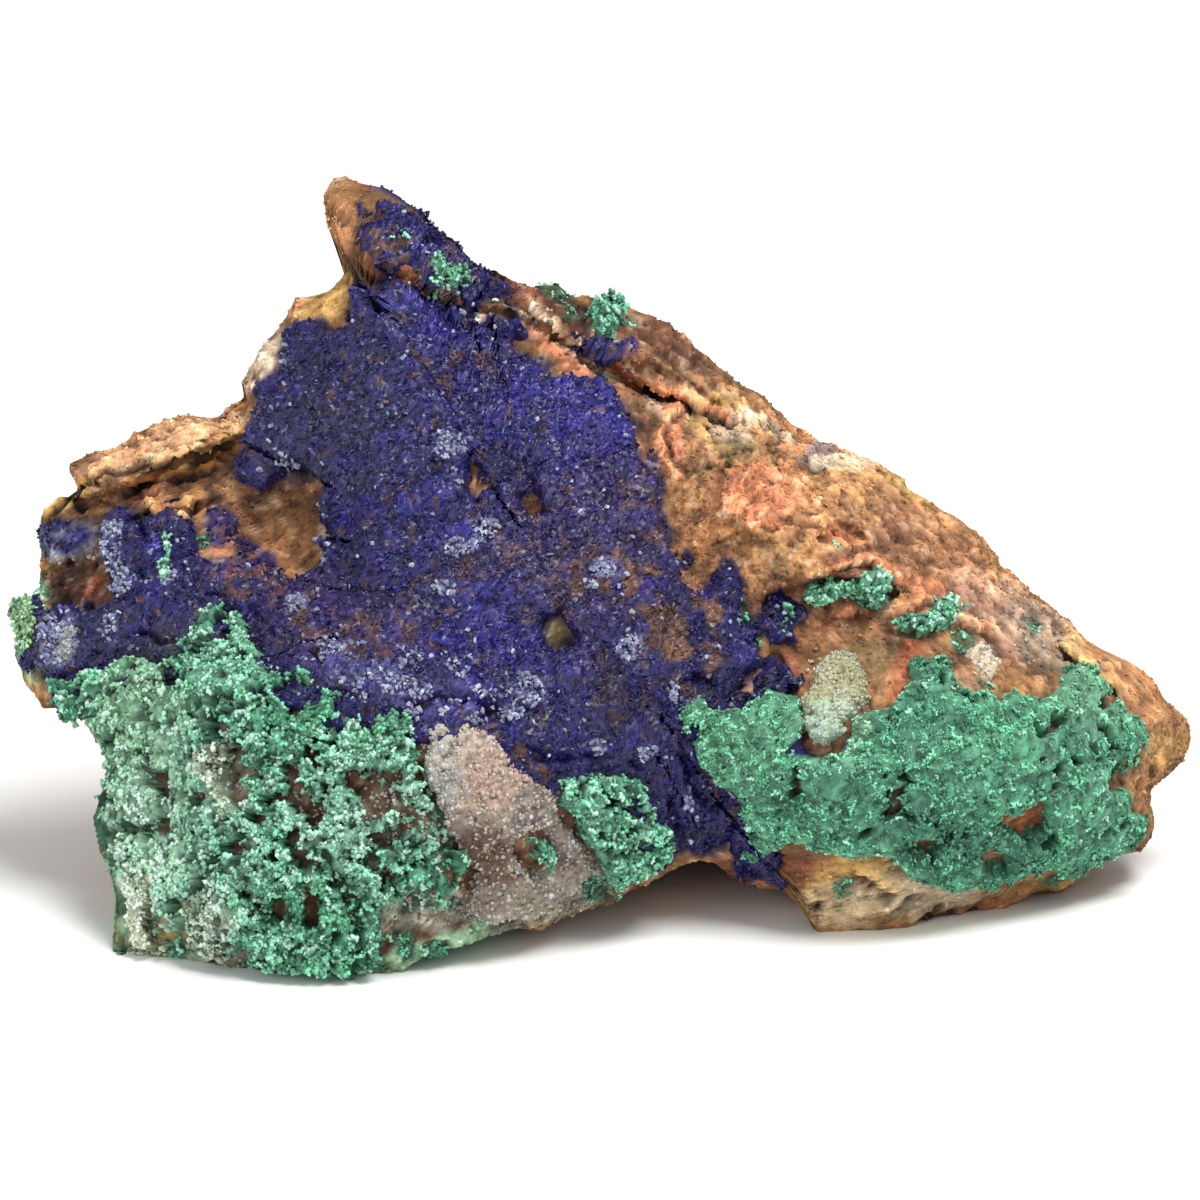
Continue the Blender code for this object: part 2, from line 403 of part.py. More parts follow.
# Each crust: (material, thickness, height of its lumps, size of its lumps, outline, windows onto bare rock).
CRUSTS = {
    "azurite_face_crust": (
        "azurite", 0.75, 0.45, 1.5,
        [
            (-16.1, 47.2), (-14.8, 47.6), (-13.5, 47.2), (-11.8, 46), (-10.6, 44.9), (-9.3, 44.6),
            (-8.1, 45.1), (-6.6, 45), (-5.3, 44.1),
            (-6.5, 43.5), (-5.5, 42.7), (-4.2, 42), (-3.4, 40.8), (-1.8, 40.7), (-0.2, 40.9),
            (0.7, 39.9), (1.6, 38.8), (2.1, 37.7),
            (2.3, 36.5), (2.8, 35), (3.9, 34.2), (3.6, 32.6), (4.2, 31.1), (4.7, 28.8), (5.3, 26.9),
            (6.3, 26.2), (7.4, 26.9),
            (8, 28.5), (8.9, 28.1), (9.5, 26.7), (9.3, 25.4), (10.8, 24), (10.4, 22.8), (11, 21.9),
            (10.1, 21), (8.6, 19.8),
            (7.2, 20.2), (6, 21), (4.7, 20.4), (4.4, 19.3), (4.5, 17.7), (5, 15.8), (5.8, 13.7),
            (7.4, 13.2), (8.6, 12.8),
            (8.7, 11.3), (8.2, 9.8), (6.8, 9), (5.3, 9.3), (4.4, 10.6), (4, 12.5), (2.9, 14.1),
            (1.2, 15.1), (-1.3, 15.5),
            (-3.9, 15.4), (-6.2, 16.7), (-8.2, 18.7), (-10.4, 19), (-12.5, 19.2), (-14.8, 18.7),
            (-17.1, 19), (-18.5, 20.1), (-19.3, 21.7),
            (-20.5, 20.9), (-21.6, 21.5), (-22.4, 23.4), (-23.6, 25), (-25.5, 25.8), (-26.9, 25.7),
            (-27.5, 24.3), (-28, 23.1), (-29.4, 22.5),
            (-30.7, 23.4), (-32.1, 22.9), (-33.6, 22), (-35.1, 21.3), (-36.6, 20.8), (-37.7, 20.8),
            (-38.2, 21.6), (-38.1, 22.9), (-37.8, 24.6), (-36.8, 25.3), (-34.5, 25.2),
            (-33.4, 25.8), (-33.2, 27.4), (-33.8, 29.3), (-34, 30.9), (-32.1, 31.7), (-30.9, 31.2),
            (-30.5, 28.8), (-30, 26.5), (-28.2, 26.6),
            (-28.2, 28.8), (-26.9, 29), (-24.6, 28.2), (-22.7, 27.7), (-20.5, 26.9), (-19.3, 28),
            (-18.4, 29.3), (-18.9, 32), (-19.2, 34.3),
            (-20, 35.1), (-21.3, 35), (-22.1, 34.3), (-23.1, 33.6), (-24.7, 34.3), (-24.8, 35.5),
            (-24.1, 37), (-23.1, 39.3), (-23.9, 40),
            (-23.1, 40.8), (-21.6, 41.5), (-21.4, 43), (-21.3, 44), (-20.4, 44.9), (-19.2, 45),
            (-18.3, 44.2), (-17.1, 44.7), (-16.7, 46.1),
        ],
        [
            [(-5.6, 32.8), (-4.9, 33.5), (-4.2, 32.8), (-4.1, 31.9), (-4.7, 31.1), (-5.4, 31.6)],
            [(-3.9, 25), (-2.9, 25.2), (-2.1, 24.4), (-2.2, 23.1), (-3.2, 22.5), (-4, 23.5)],
            [(-9.1, 34.2), (-8.2, 34.6), (-7.9, 33.5), (-8.5, 32.7), (-9, 33.2)],
            [(-37.4, 24.4), (-36.6, 24.8), (-34.9, 24.6), (-34.6, 23.8), (-34.7, 22.4), (-35.1, 21.5),
             (-37.1, 21.5), (-37.4, 22.7)],
        ],
    ),
    "azurite_ridge_crust": (
        "azurite", 0.6, 0.3, 1.3,
        [
            (-16, 53.1), (-14.8, 53.4), (-13.6, 52.7), (-12.1, 51.6), (-11, 50.6), (-9.9, 49.6),
            (-9.3, 48.8), (-8.3, 47.9), (-7.1, 47.7),
            (-5.9, 47), (-6.7, 46.4), (-7.9, 46.6), (-8.7, 47.4), (-9.5, 48.1), (-10.5, 48.9),
            (-11.4, 49.6), (-12.5, 50.4), (-13.5, 51.4),
            (-14.6, 51.5), (-15.6, 51.9),
        ],
        [],
    ),
    "azurite_low_lobe": (
        "azurite", 0.5, 0.25, 1.2,
        [(9.1, 8.3), (9.5, 8.7), (10.2, 8.3), (10.8, 7.5), (10.1, 7.2), (9.4, 7.6)],
        [],
    ),
    "malachite_left_crust": (
        "malachite", 1.0, 0.72, 2.0,
        [
            (-26.7, 25), (-25.7, 25.1), (-24.2, 24.4), (-23.1, 22.8), (-22.3, 20.8), (-21, 20.4),
            (-19.8, 20.9), (-19, 19.6), (-17.7, 18.5),
            (-15.6, 18.2), (-13.9, 18.3), (-12.9, 17.8), (-12.8, 15.9), (-12.4, 13.7), (-11.7, 12.1),
            (-10.6, 10.1), (-9.8, 7.9), (-10.4, 6.3),
            (-11.7, 5.9), (-13.3, 6.7), (-14.6, 5.9), (-15.1, 4.3), (-14.6, 2.8), (-15.8, 1.8),
            (-17.5, 1.3), (-19.7, 1.7), (-21.6, 1.8),
            (-23.1, 2.4), (-23.8, 3.7), (-24.6, 2.4), (-25.8, 2.2), (-26.9, 3), (-27.5, 4.7),
            (-28.4, 2.8), (-30, 2.5), (-31.3, 3),
            (-31.7, 5.8), (-32, 8.1), (-32.8, 9.9), (-33, 11.4), (-32.3, 13.2), (-32.4, 15.1),
            (-33.2, 16.7), (-34.2, 18.2), (-35.4, 19),
            (-36.6, 19.4), (-36.8, 20.1), (-34.7, 20.6), (-33.2, 21.3), (-31.9, 22.3), (-30.7, 22.7),
            (-29.7, 21.9), (-28.4, 22.3), (-27.4, 21.7),
            (-27.3, 23.6),
        ],
        [
            [(-25, 15.5), (-24, 15.8), (-23.2, 14.7), (-23.1, 12.8), (-23.8, 11.7), (-24.6, 12.5),
             (-25.1, 13.9)],
            [(-20.5, 7.5), (-19.6, 7.8), (-18.9, 6.8), (-19.7, 6.2)],
            [(-17.3, 14.6), (-16.3, 15), (-15.8, 13.7), (-16.6, 12.8), (-17.3, 13.5)],
        ],
    ),
    "malachite_middle_crust": (
        "malachite", 0.9, 0.62, 1.8,
        [
            (-3.2, 14.3), (-1.4, 14.8), (0.6, 14.7), (2.2, 13.9), (3, 12.5), (3.6, 11), (4.1, 9.7),
            (3.5, 8.6), (2, 7.9),
            (0.5, 7.2), (-0.3, 7.9), (-0.1, 9.1), (-1, 9.9), (-2, 11.3), (-2.9, 12.8),
        ],
        [],
    ),
    "malachite_right_crust": (
        "malachite", 0.9, 0.48, 1.7,
        [
            (5.2, 18.9), (5.6, 19.7), (6.6, 19.7), (7.6, 19), (9.3, 18.7), (10.6, 19.4), (11.6, 21),
            (12.4, 19.3), (12.8, 17.4),
            (13.6, 15.9), (14.8, 15.8), (16.4, 16.4), (18.1, 18.5), (19.4, 18.9), (20.2, 20.2),
            (21.6, 22), (23.1, 21.9), (23.8, 20.2),
            (25.2, 19.4), (26.7, 18.5), (28.2, 19.4), (30, 19.3), (30.9, 20.1), (31.3, 21.7),
            (32.8, 21), (33.9, 20),
            (33.5, 18.9), (34.9, 18.2), (36.3, 17.7), (36.8, 16.4), (35.8, 15.5), (34.3, 15),
            (33.5, 13.7), (34.9, 12.9),
            (35, 11.6), (36.1, 11.4), (35.5, 9.8), (34.2, 9.3), (32.6, 8.5), (30.9, 7.9), (29.6, 8.3),
            (27.5, 7.6),
            (25.7, 7.1), (23.6, 7), (21.2, 7.6), (18.7, 9.1), (16.4, 9.7), (14.3, 9.7), (12.4, 10.4),
            (11.2, 9.5), (9.8, 9.5),
            (9.5, 11.2), (9.4, 13.2), (8.1, 14), (6.7, 14.1), (5.9, 15.8),
        ],
        [
            [(26.6, 11.7), (28.4, 12.3), (29.8, 12.3), (29.6, 11.2), (28.1, 10.1), (26.9, 10.6)],
            [(20.4, 10.1), (21.5, 10.4), (22.3, 9.8), (21.5, 9.3)],
            [(25.5, 9.1), (26.5, 9.4), (26.9, 8.7), (25.9, 8.3)],
        ],
    ),
    "malachite_edge_crust": (
        "malachite", 0.5, 0.3, 1.5,
        [(-39.2, 25.8), (-38.7, 26.1), (-38.4, 25.2), (-38.4, 23.9), (-38.7, 22.8), (-39.1, 22.2),
         (-39.5, 23.4)],
        [],
    ),
    "malachite_streak": (
        "malachite", 0.55, 0.3, 1.3,
        [(-30, 30.8), (-29.3, 30.9), (-28.9, 29.8), (-28.8, 28.8), (-28.9, 27.1), (-29.6, 27),
         (-30, 28.8)],
        [],
    ),
    "malachite_peak_tuft": (
        "malachite", 0.8, 0.5, 1.0,
        [(-15.4, 50.4), (-14.6, 50.8), (-13.7, 51.1), (-12.9, 50.7), (-13.5, 49.9), (-14.6, 49.6)],
        [],
    ),
    "malachite_ridge_tuft": (
        "malachite", 0.8, 0.5, 1.0,
        [(-12.1, 48.9), (-11.2, 48.8), (-10.2, 48.3), (-9.3, 47.6), (-9, 46.6), (-9.9, 46.2),
         (-11, 46.8), (-11.8, 47.7)],
        [],
    ),
    "malachite_crest_tuft": (
        "malachite", 0.8, 0.5, 1.0,
        [(-1, 45.5), (0.1, 46.2), (1.2, 45.8), (1.4, 44.9), (0.6, 44.2), (0.2, 43.4), (-0.5, 43.8),
         (-0.7, 44.6)],
        [],
    ),
    "malachite_brow_tuft": (
        "malachite", 0.7, 0.4, 1.1,
        [(13.2, 26.5), (13.9, 27.3), (15.1, 27.7), (16.3, 27.3), (17.3, 27.7), (18.3, 27.7),
         (19.3, 27.1), (19.2, 26.1), (18.2, 25.7), (17.4, 26.5), (16.2, 26.3), (15, 25.9), (13.7, 25.8)],
        [],
    ),
    "malachite_slope_tuft": (
        "malachite", 0.7, 0.4, 1.1,
        [(19.8, 24.8), (20.6, 24.7), (21.6, 24.3), (22.3, 25.2), (23.1, 25.8), (23.9, 25.4),
         (23.5, 24.6), (22.3, 23.8), (21, 23.5), (20.1, 24)],
        [],
    ),
    "malachite_hollow_tuft": (
        "malachite", 0.7, 0.4, 1.1,
        [(11.7, 25.7), (12.4, 26.1), (12.9, 25.4), (12.7, 24.3), (12, 23.9), (11.6, 24.7)],
        [],
    ),
    "pale_front_druse": (
        "pale_druse", 0.45, 0.2, 1.6,
        [
            (-12.1, 17.4), (-11, 18.1), (-9, 18.1), (-7.9, 17.3), (-6.4, 15.6), (-4.7, 14.6),
            (-3.5, 13.1), (-2.5, 11.3), (-1.4, 9.7),
            (-0.6, 8.3), (-1.6, 6.8), (-3.2, 6), (-4.5, 4.9), (-6.2, 4.8), (-7.9, 4.5), (-9.3, 4.9),
            (-8.9, 6.7), (-9.1, 8.5),
            (-9.9, 10.4), (-11, 12.4), (-11.7, 14.4),
        ],
        [[(-5.8, 10.1), (-4.9, 10.6), (-3.7, 10.4), (-3.2, 9.3), (-3.7, 8.3), (-4.9, 8.3), (-5.8, 9.1)]],
    ),
    "malachite_front_tuft": (
        "malachite", 0.75, 0.45, 1.4,
        [(-5.4, 9.9), (-4.8, 10.3), (-3.9, 10), (-3.5, 9.3), (-3.9, 8.7), (-4.8, 8.7), (-5.4, 9.3)],
        [],
    ),
    "pale_left_druse": (
        "pale_druse", 0.5, 0.2, 1.2,
        [(-37, 24.2), (-35.8, 24.4), (-35.1, 24), (-35.1, 22.7), (-35.5, 21.9), (-36.8, 21.7),
         (-37.1, 22.8)],
        [],
    ),
    "pale_right_druse": (
        "pale_druse", 0.6, 0.3, 1.3,
        [
            (14.1, 21.2), (15.1, 22.3), (16.3, 22.5), (17.4, 21.9), (17.7, 20.4), (17.5, 19.2),
            (16.3, 17.3), (15.1, 16.4), (14.1, 16.6),
            (13.5, 17.7), (13.5, 19.3),
        ],
        [],
    ),
    "pale_slope_crystal": (
        "pale_druse", 0.8, 0.4, 1.0,
        [(24.7, 22.5), (25.5, 22.8), (26.2, 22.3), (26.6, 21.2), (26.1, 20.6), (25.2, 21.3)],
        [],
    ),
}
BORDER = 1.3  # width over which a crust grows from its thin border to its full thickness
LEAST_THICKNESS = 0.3  # a crust is nowhere thinner than this share of its full thickness
OUTLINE_STEP = 1.15  # longest side along a crust's outline, times FINE
CLEAR_OF_LINES = (0.6, 0.5, 0.45)  # gap of fine, coarse and rear spots from any line, times their spacing
SHAKE = 0.22  # how far a spot of the lattice is moved, as a share of its spacing
ROCK_CREASE, CRUST_CREASE = 35.0, 8.0  # degrees at which an edge is shaded sharp
REAR_RINGS = ((0.95, 1), (0.88, 2), (0.8, 2))  # the rear's outer rings: share of the way, edge points a step
NEAREST_EDGE = 0.93  # share of the way to the edge past which no crust goes
BORDER_SHARE = 0.45  # thickness of that border, as a share of the full thickness


def inside(points, outline):
    """Whether each point lies within a closed outline, by counting the sides above it."""
    within = np.zeros(len(points), bool)
    for (x0, y0), (x1, y1) in zip(outline, np.roll(outline, -1, axis=0)):
        spans = (y0 > points[:, 1]) != (y1 > points[:, 1])
        crossing = x0 + (points[:, 1] - y0) * (x1 - x0) / (y1 - y0 if y1 != y0 else 1.0)
        within ^= spans & (points[:, 0] < crossing)
    return within


def onto_disc(places):
    """Places on the face to places on the flat front disc, where the rounded edge is spread out."""
    away = places - np.array(HEART)
    bearing, distance = np.arctan2(away[:, 1], away[:, 0]), np.hypot(*away.T)
    low, high = np.zeros(len(places)), np.full(len(places), NEAREST_EDGE)
    for _ in range(30):
        share = (low + high) / 2.0
        short = reach_across(bearing, share) < distance
        low, high = np.where(short, share, low), np.where(short, high, share)
    on_disc = (low * edge_reach(bearing))[:, None] * np.column_stack([np.cos(bearing), np.sin(bearing)])
    return np.array(HEART) + on_disc


def off_disc(spots):
    """Places on the flat disc to bearings and shares of the way to the edge."""
    away = spots - np.array(HEART)
    bearing = np.arctan2(away[:, 1], away[:, 0])
    return bearing, np.hypot(*away.T) / edge_reach(bearing)


def rear_place(spots):
    """Bearings and shares, from 1 at the edge to 2 at the middle of the rear."""
    bearing, share = off_disc(spots)
    return bearing, 2.0 - share


def walk_round(outline, step):
    """A closed outline with every side cut into pieces no longer than step."""
    walked = []
    for start, end in zip(outline, np.roll(outline, -1, axis=0)):
        pieces = max(1, math.ceil(np.hypot(*(end - start)) / step))
        walked.append(start + (end - start) * np.arange(pieces)[:, None] / pieces)
    return np.concatenate(walked)


def crust_outline(outline):
    """A crust's or a window's outline, laid on the disc and walked round."""
    return walk_round(onto_disc(np.array(outline)), FINE * OUTLINE_STEP)


def distance_to(points, loops):
    """Distance from each point to the nearest side of any closed loop."""
    nearest = np.full(len(points), 1e9)
    for loop in loops:
        for start, end in zip(loop, np.roll(loop, -1, axis=0)):
            side, away = end - start, points - start
            along = np.clip(away @ side / (side @ side), 0.0, 1.0)
            nearest = np.minimum(nearest, np.hypot(*(away - along[:, None] * side).T))
    return nearest


def lattice(spacing, rng):
    """An unevenly shaken triangular lattice over the whole disc."""
    low, high = np.min(OUTLINE, axis=0), np.max(OUTLINE, axis=0)
    columns = np.arange(low[0], high[0], spacing)
    rows = np.arange(low[1], high[1], spacing * math.sqrt(0.75))
    spots = np.array([(x + (row % 2) * spacing / 2, y) for row, y in enumerate(rows) for x in columns])
    return spots + rng.uniform(-SHAKE, SHAKE, spots.shape) * spacing


def triangulate(spots, loops, spokes=()):
    """Triangles over the spots that keep every loop's sides and every spoke, wound the same way round."""
    sides, start = list(spokes), 0
    for loop in loops:
        count = len(loop)
        sides += [(start + i, start + (i + 1) % count) for i in range(count)]
        start += count
    flat, _, faces, *_ = delaunay_2d_cdt([Vector(spot) for spot in spots.tolist()], sides, [], 0, 1e-6)
    return np.array([tuple(spot) for spot in flat]), np.array(faces)


def on_crust(spots, filled, windows):
    """Whether each spot lies inside a crust's outline and outside every window."""
    within = np.any([inside(spots, loop) for loop in filled], axis=0)
    return within & ~np.any([inside(spots, loop) for loop in windows], axis=0)


def front_disc(rim, filled, windows, rng):
    """The front disc's spots and triangles: crust outlines and windows are kept as lines of edges."""
    loops = [rim] + filled + windows
    fine, coarse = lattice(FINE, rng), lattice(COARSE, rng)
    fine = fine[on_crust(fine, filled, windows)]
    coarse = coarse[~on_crust(coarse, filled, windows) & inside(coarse, rim)]
    fine = fine[distance_to(fine, loops) > FINE * CLEAR_OF_LINES[0]]
    coarse = coarse[distance_to(coarse, loops) > COARSE * CLEAR_OF_LINES[1]]
    spots, faces = triangulate(np.concatenate(loops + [fine, coarse]), loops)
    return spots, faces[inside(spots[faces].mean(axis=1), rim)]


def rear_disc(rim, rng):
    """The rear disc's spots and triangles: the same edge, rings inside it, and widely spaced spots."""
    heart = np.array(HEART)
    rings = [heart + (rim[::skip] - heart) * share for share, skip in REAR_RINGS]
    spots = lattice(REAR, rng)
    spots = spots[inside(spots, rings[-1])]
    spots = spots[distance_to(spots, rings[-1:]) > REAR * CLEAR_OF_LINES[2]]
    spokes = [(i, i + len(rim)) for i in range(len(rim))]
    spots, faces = triangulate(np.concatenate([rim, *rings, spots]), [rim, *rings], spokes)
    return spots, faces[inside(spots[faces].mean(axis=1), rim)]


def make_material(name):
    colour, roughness = COLOURS[name]
    linear = [((part / 255.0 + 0.055) / 1.055) ** 2.4 for part in colour]
    material = bpy.data.materials.new(name)
    material.use_nodes = True
    shader = material.node_tree.nodes["Principled BSDF"]
    shader.inputs["Base Color"].default_value = (*linear, 1.0)
    shader.inputs["Roughness"].default_value = roughness
    shader.inputs["Metallic"].default_value = 0.0
    return material


def make_node(name, points, faces, material, collection, crease):
    """One closed solid as an object, shaded smooth where its faces turn by less than crease degrees."""
    mesh = bpy.data.meshes.new(name)
    mesh.from_pydata((points * MM).tolist(), [], [tuple(face) for face in faces])
    mesh.validate()
    mesh.shade_smooth()
    mesh.set_sharp_from_angle(angle=math.radians(crease))
    mesh.materials.append(material)
    node = bpy.data.objects.new(name, mesh)
    collection.objects.link(node)
    return node


def point_normals(points, faces):
    """Unit normals at the points, from the triangles around them."""
    corners = points[faces]
    across = np.cross(corners[:, 1] - corners[:, 0], corners[:, 2] - corners[:, 0])
    normals = np.zeros_like(points)
    for corner in range(3):
        np.add.at(normals, faces[:, corner], across)
    return normals / np.maximum(np.linalg.norm(normals, axis=1), 1e-12)[:, None]


def border_sides(faces):
    """The sides that only one triangle has, each in that triangle's direction."""
    sides = np.concatenate([faces[:, [0, 1]], faces[:, [1, 2]], faces[:, [2, 0]]])
    known = {tuple(side) for side in sides.tolist()}
    return [side for side in known if side[::-1] not in known]


def crust_solid(patch, points, normals, spots, loops, build):
    """A closed crust on a patch of the rock: inner sheet, lumpy outer sheet and a wall round every border."""
    thickness, lump_height, lump_size = build
    used, local = np.unique(patch, return_inverse=True)
    faces = local.reshape(-1, 3)
    count = len(used)
    inner = points[used] + normals[used] * SKIN_GAP
    full = smooth(distance_to(spots[used], loops), 0.0, BORDER)
    lumps = lump_height * (corner_value(np.column_stack([used, used * 7, used * 13]), SEED) * 1.4 - 0.4)
    broad = lump_height * grain(points[used] / lump_size / 1.6, SEED + 20)
    grown = thickness * (BORDER_SHARE + (1.0 - BORDER_SHARE) * full) + (lumps + broad) * full
    outer = inner + normals[used] * np.maximum(grown, thickness * LEAST_THICKNESS)[:, None]
    walls = []
    for start, end in border_sides(faces):
        walls += [(end, start, start + count), (end, start + count, end + count)]
    return np.concatenate([outer, inner]), np.concatenate([faces, faces[:, ::-1] + count, np.array(walls)])


def clear_scene():
    for item in list(bpy.data.objects):
        bpy.data.objects.remove(item, do_unlink=True)


def main():
    clear_scene()
    rng = np.random.default_rng(SEED)
    collection = bpy.data.collections.new("azurite_specimen")
    bpy.context.scene.collection.children.link(collection)
    materials = {name: make_material(name) for name in COLOURS}

    rim = np.array(OUTLINE)[::-1]
    filled = [crust_outline(crust[4]) for crust in CRUSTS.values()]
    windows = [[crust_outline(hole) for hole in crust[5]] for crust in CRUSTS.values()]
    spots, front = front_disc(rim, filled, [hole for holes in windows for hole in holes], rng)
    rear_spots, rear = rear_disc(rim, rng)

    edge_count = len(rim)
    points = np.concatenate([lump(*off_disc(spots)), lump(*rear_place(rear_spots[edge_count:]))])
    shift = np.where(np.arange(len(rear_spots)) < edge_count, 0, len(spots) - edge_count)
    rear = rear[:, ::-1]
    rear = rear + shift[rear]
    faces = np.concatenate([front, rear])
    make_node("host_rock", points, faces, materials["limonite_rock"], collection, ROCK_CREASE)

    normals = point_normals(points, faces)
    middles = spots[front].mean(axis=1)
    for index, (name, crust) in enumerate(CRUSTS.items()):
        material, thickness, lump_height, lump_size = crust[:4]
        loops = [filled[index]] + windows[index]
        covered = inside(middles, filled[index])
        for hole in windows[index]:
            covered &= ~inside(middles, hole)
        build = (thickness, lump_height, lump_size)
        solid = crust_solid(front[covered], points, normals, spots, loops, build)
        make_node(name, *solid, materials[material], collection, CRUST_CREASE)


if __name__ == "__main__":
    main()
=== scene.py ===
"""Azurite specimen, dressed: iron-stained rock with azurite crystals, malachite grains and pale druse.

Everything is worked out in the frame of the specimen's crystal face, in millimetres: across (to the
right), up (up the face) and out (towards whoever looks at it). The face leans back by LEAN. A point of
the surface has a bearing about HEART and a share: 0 at HEART, 1 at the edge all round, 2 at the middle
of the broken rear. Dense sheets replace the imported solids, and crystals and grains are seated on them.
"""

import math

import bpy
import numpy as np
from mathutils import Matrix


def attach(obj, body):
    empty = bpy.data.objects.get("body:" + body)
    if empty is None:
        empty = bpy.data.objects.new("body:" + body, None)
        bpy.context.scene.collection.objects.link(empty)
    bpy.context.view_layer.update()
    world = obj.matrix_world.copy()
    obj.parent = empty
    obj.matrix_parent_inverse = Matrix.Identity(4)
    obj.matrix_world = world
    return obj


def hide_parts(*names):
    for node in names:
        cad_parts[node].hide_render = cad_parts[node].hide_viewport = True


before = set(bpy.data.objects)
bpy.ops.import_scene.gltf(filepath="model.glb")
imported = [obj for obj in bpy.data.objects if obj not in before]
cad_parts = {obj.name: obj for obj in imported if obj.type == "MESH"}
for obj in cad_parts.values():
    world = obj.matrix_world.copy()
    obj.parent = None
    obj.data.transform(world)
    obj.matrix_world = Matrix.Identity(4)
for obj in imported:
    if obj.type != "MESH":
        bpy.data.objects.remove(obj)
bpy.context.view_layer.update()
MM = 0.001

# ---------------- the lump's driving values, as in the solids

LEAN = math.radians(20.0)  # how far the crystal face leans back from upright
FLOOR_DROP = 4.1  # height of the face frame's origin above the floor, turned round
CENTRE = (0.0, 8.22)  # middle of the lump's box on the floor, before it is moved to the origin
HEART = (-2.9, 26.1)  # where the bearings turn about, on the face
CORE_OUT = -3.0  # depth of the point that the underside closes towards
CORE_UP = 18.0
SHOULDER = 3.5  # power of the rounded edge: 2 is an ellipse, more is squarer
EDGE_REACH = (30.0, 13.0)  # half width and half depth that the rounded edge is laid out on
SIDE_STEPS = 6  # steps that each side of the outline is looked up in
CALM_SPAN = 7  # degrees over which the outline's notches are evened out away from the edge
RAGGED_FROM = 0.55  # share of the way out from which the surface starts to follow those notches
SHEET_EASE = 2.0  # how far the sheet through the relief points may pass beside them
SKIN_GAP = 0.3  # clear gap between the rock and a crust
CORNER = 3.0  # how crisp the corners between the rear's fractures are
ROUGHNESS, ROUGH_SIZE = 0.55, 7.0  # height and width of the rock's own unevenness
REAR_ROUGHER = 2.2  # times as high on the rear
CLOSING = (0.3, 3.0)  # depths below the floor between which points start to be drawn in to the core
PAD_FADE = (0.9, 1.25)  # shares of a pad's half widths between which its flatness fades
HOLLOW, HOLLOW_SWING, HOLLOW_SIZE = 0.55, 0.35, 6.0  # height, unevenness and width of the hollows beneath
SEED = 7

OUTLINE = [  # the lump's edge as seen square to the face, clockwise from the peak
    (-18.3, 54.8), (-17.4, 54.8), (-16.3, 54.3), (-14.8, 54.1), (-13.8, 53.4), (-12, 52.2), (-11.2, 51),
    (-10.3, 50.7), (-9.3, 49.6), (-8.5, 48.6), (-7.3, 48.5), (-6.1, 47.6), (-4.7, 47.4), (-3.2, 47.7),
    (-2, 46.8), (0.6, 46.7), (2.4, 45.8), (4.4, 44.9), (5.5, 43.9), (7.1, 42.6), (8.9, 41), (11, 39.9),
    (12.7, 38.1), (14.6, 36.8), (16.9, 36.1), (18.5, 35.5), (20.4, 34.4), (21.1, 33.4), (22.3, 32.7),
    (24.4, 31.6), (26, 30.3), (27.1, 28.5), (29.4, 26.5), (31.5, 24.8), (33.1, 23.2), (35.8, 21.9),
    (37.1, 21), (38.4, 19.2), (39.9, 17.6), (40, 16.7), (39.5, 15.2), (38.5, 14.1), (37.3, 13.4),
    (37.2, 12.2), (37.5, 11), (37.4, 10), (36.6, 9), (35.1, 8.9), (33.4, 7.8), (32.3, 7.1), (31.1, 6.2),
    (29.8, 6.5), (28.1, 5.6), (26.7, 4.9), (25, 4.5), (22.4, 3.6), (21.3, 3), (19.2, 2.6), (17.3, 2.4),
    (16.4, 2.5), (15.4, 3.6), (13, 6.4), (10.6, 6.7), (8.7, 7.4), (7.6, 8.4), (6.3, 8.6), (4.7, 7.9),
    (3, 7), (0.3, 5.7), (-1.7, 5.2), (-4.2, 3.9), (-5.7, 4), (-7.5, 3.6), (-9.7, 2.8), (-11.8, 2.4),
    (-13.7, 1.2), (-15.4, 0.7), (-17.3, -0.1), (-18.5, -0.1), (-20.4, 0.3), (-22, 0.2), (-23.4, 0.7),
    (-24.5, 0.9), (-25.8, 0.5), (-27.4, 1.2), (-29.4, 1.4), (-31.4, 1.7), (-33, 2), (-32.8, 5.9),
    (-33.2, 7.9), (-33.9, 9.1), (-34.5, 11.2), (-34.2, 12.6), (-33.6, 13.7), (-33.6, 15.2), (-34.5, 16.8),
    (-35.2, 18.2), (-36.6, 18.9), (-38, 18.7), (-39.4, 20.8), (-40, 22.4), (-39.7, 24.2), (-39, 26.2),
    (-38.3, 26.9), (-38.1, 29.3), (-38.5, 30.7), (-38.1, 31.9), (-36.8, 33.1), (-35.5, 34), (-36.3, 34.8),
    (-36.3, 35.4), (-34.5, 36.2), (-33, 36.4), (-31.9, 37.4), (-29.9, 38.2), (-28.2, 38.7), (-27.3, 38.3),
    (-25.8, 38.6), (-25.7, 39.1), (-24.5, 39.6), (-24.3, 40.2), (-24.6, 40.9), (-23.8, 42.2), (-22.7, 43.9),
    (-21.6, 45.1), (-21, 46.4), (-18.5, 47.1), (-17.3, 48.5), (-17.5, 49.3), (-18.7, 51.4), (-19, 53.5),
]
HEEL = ((15.6, 4), 1.0, 1.3)  # the foot's heel turns back under: where, how far, how wide

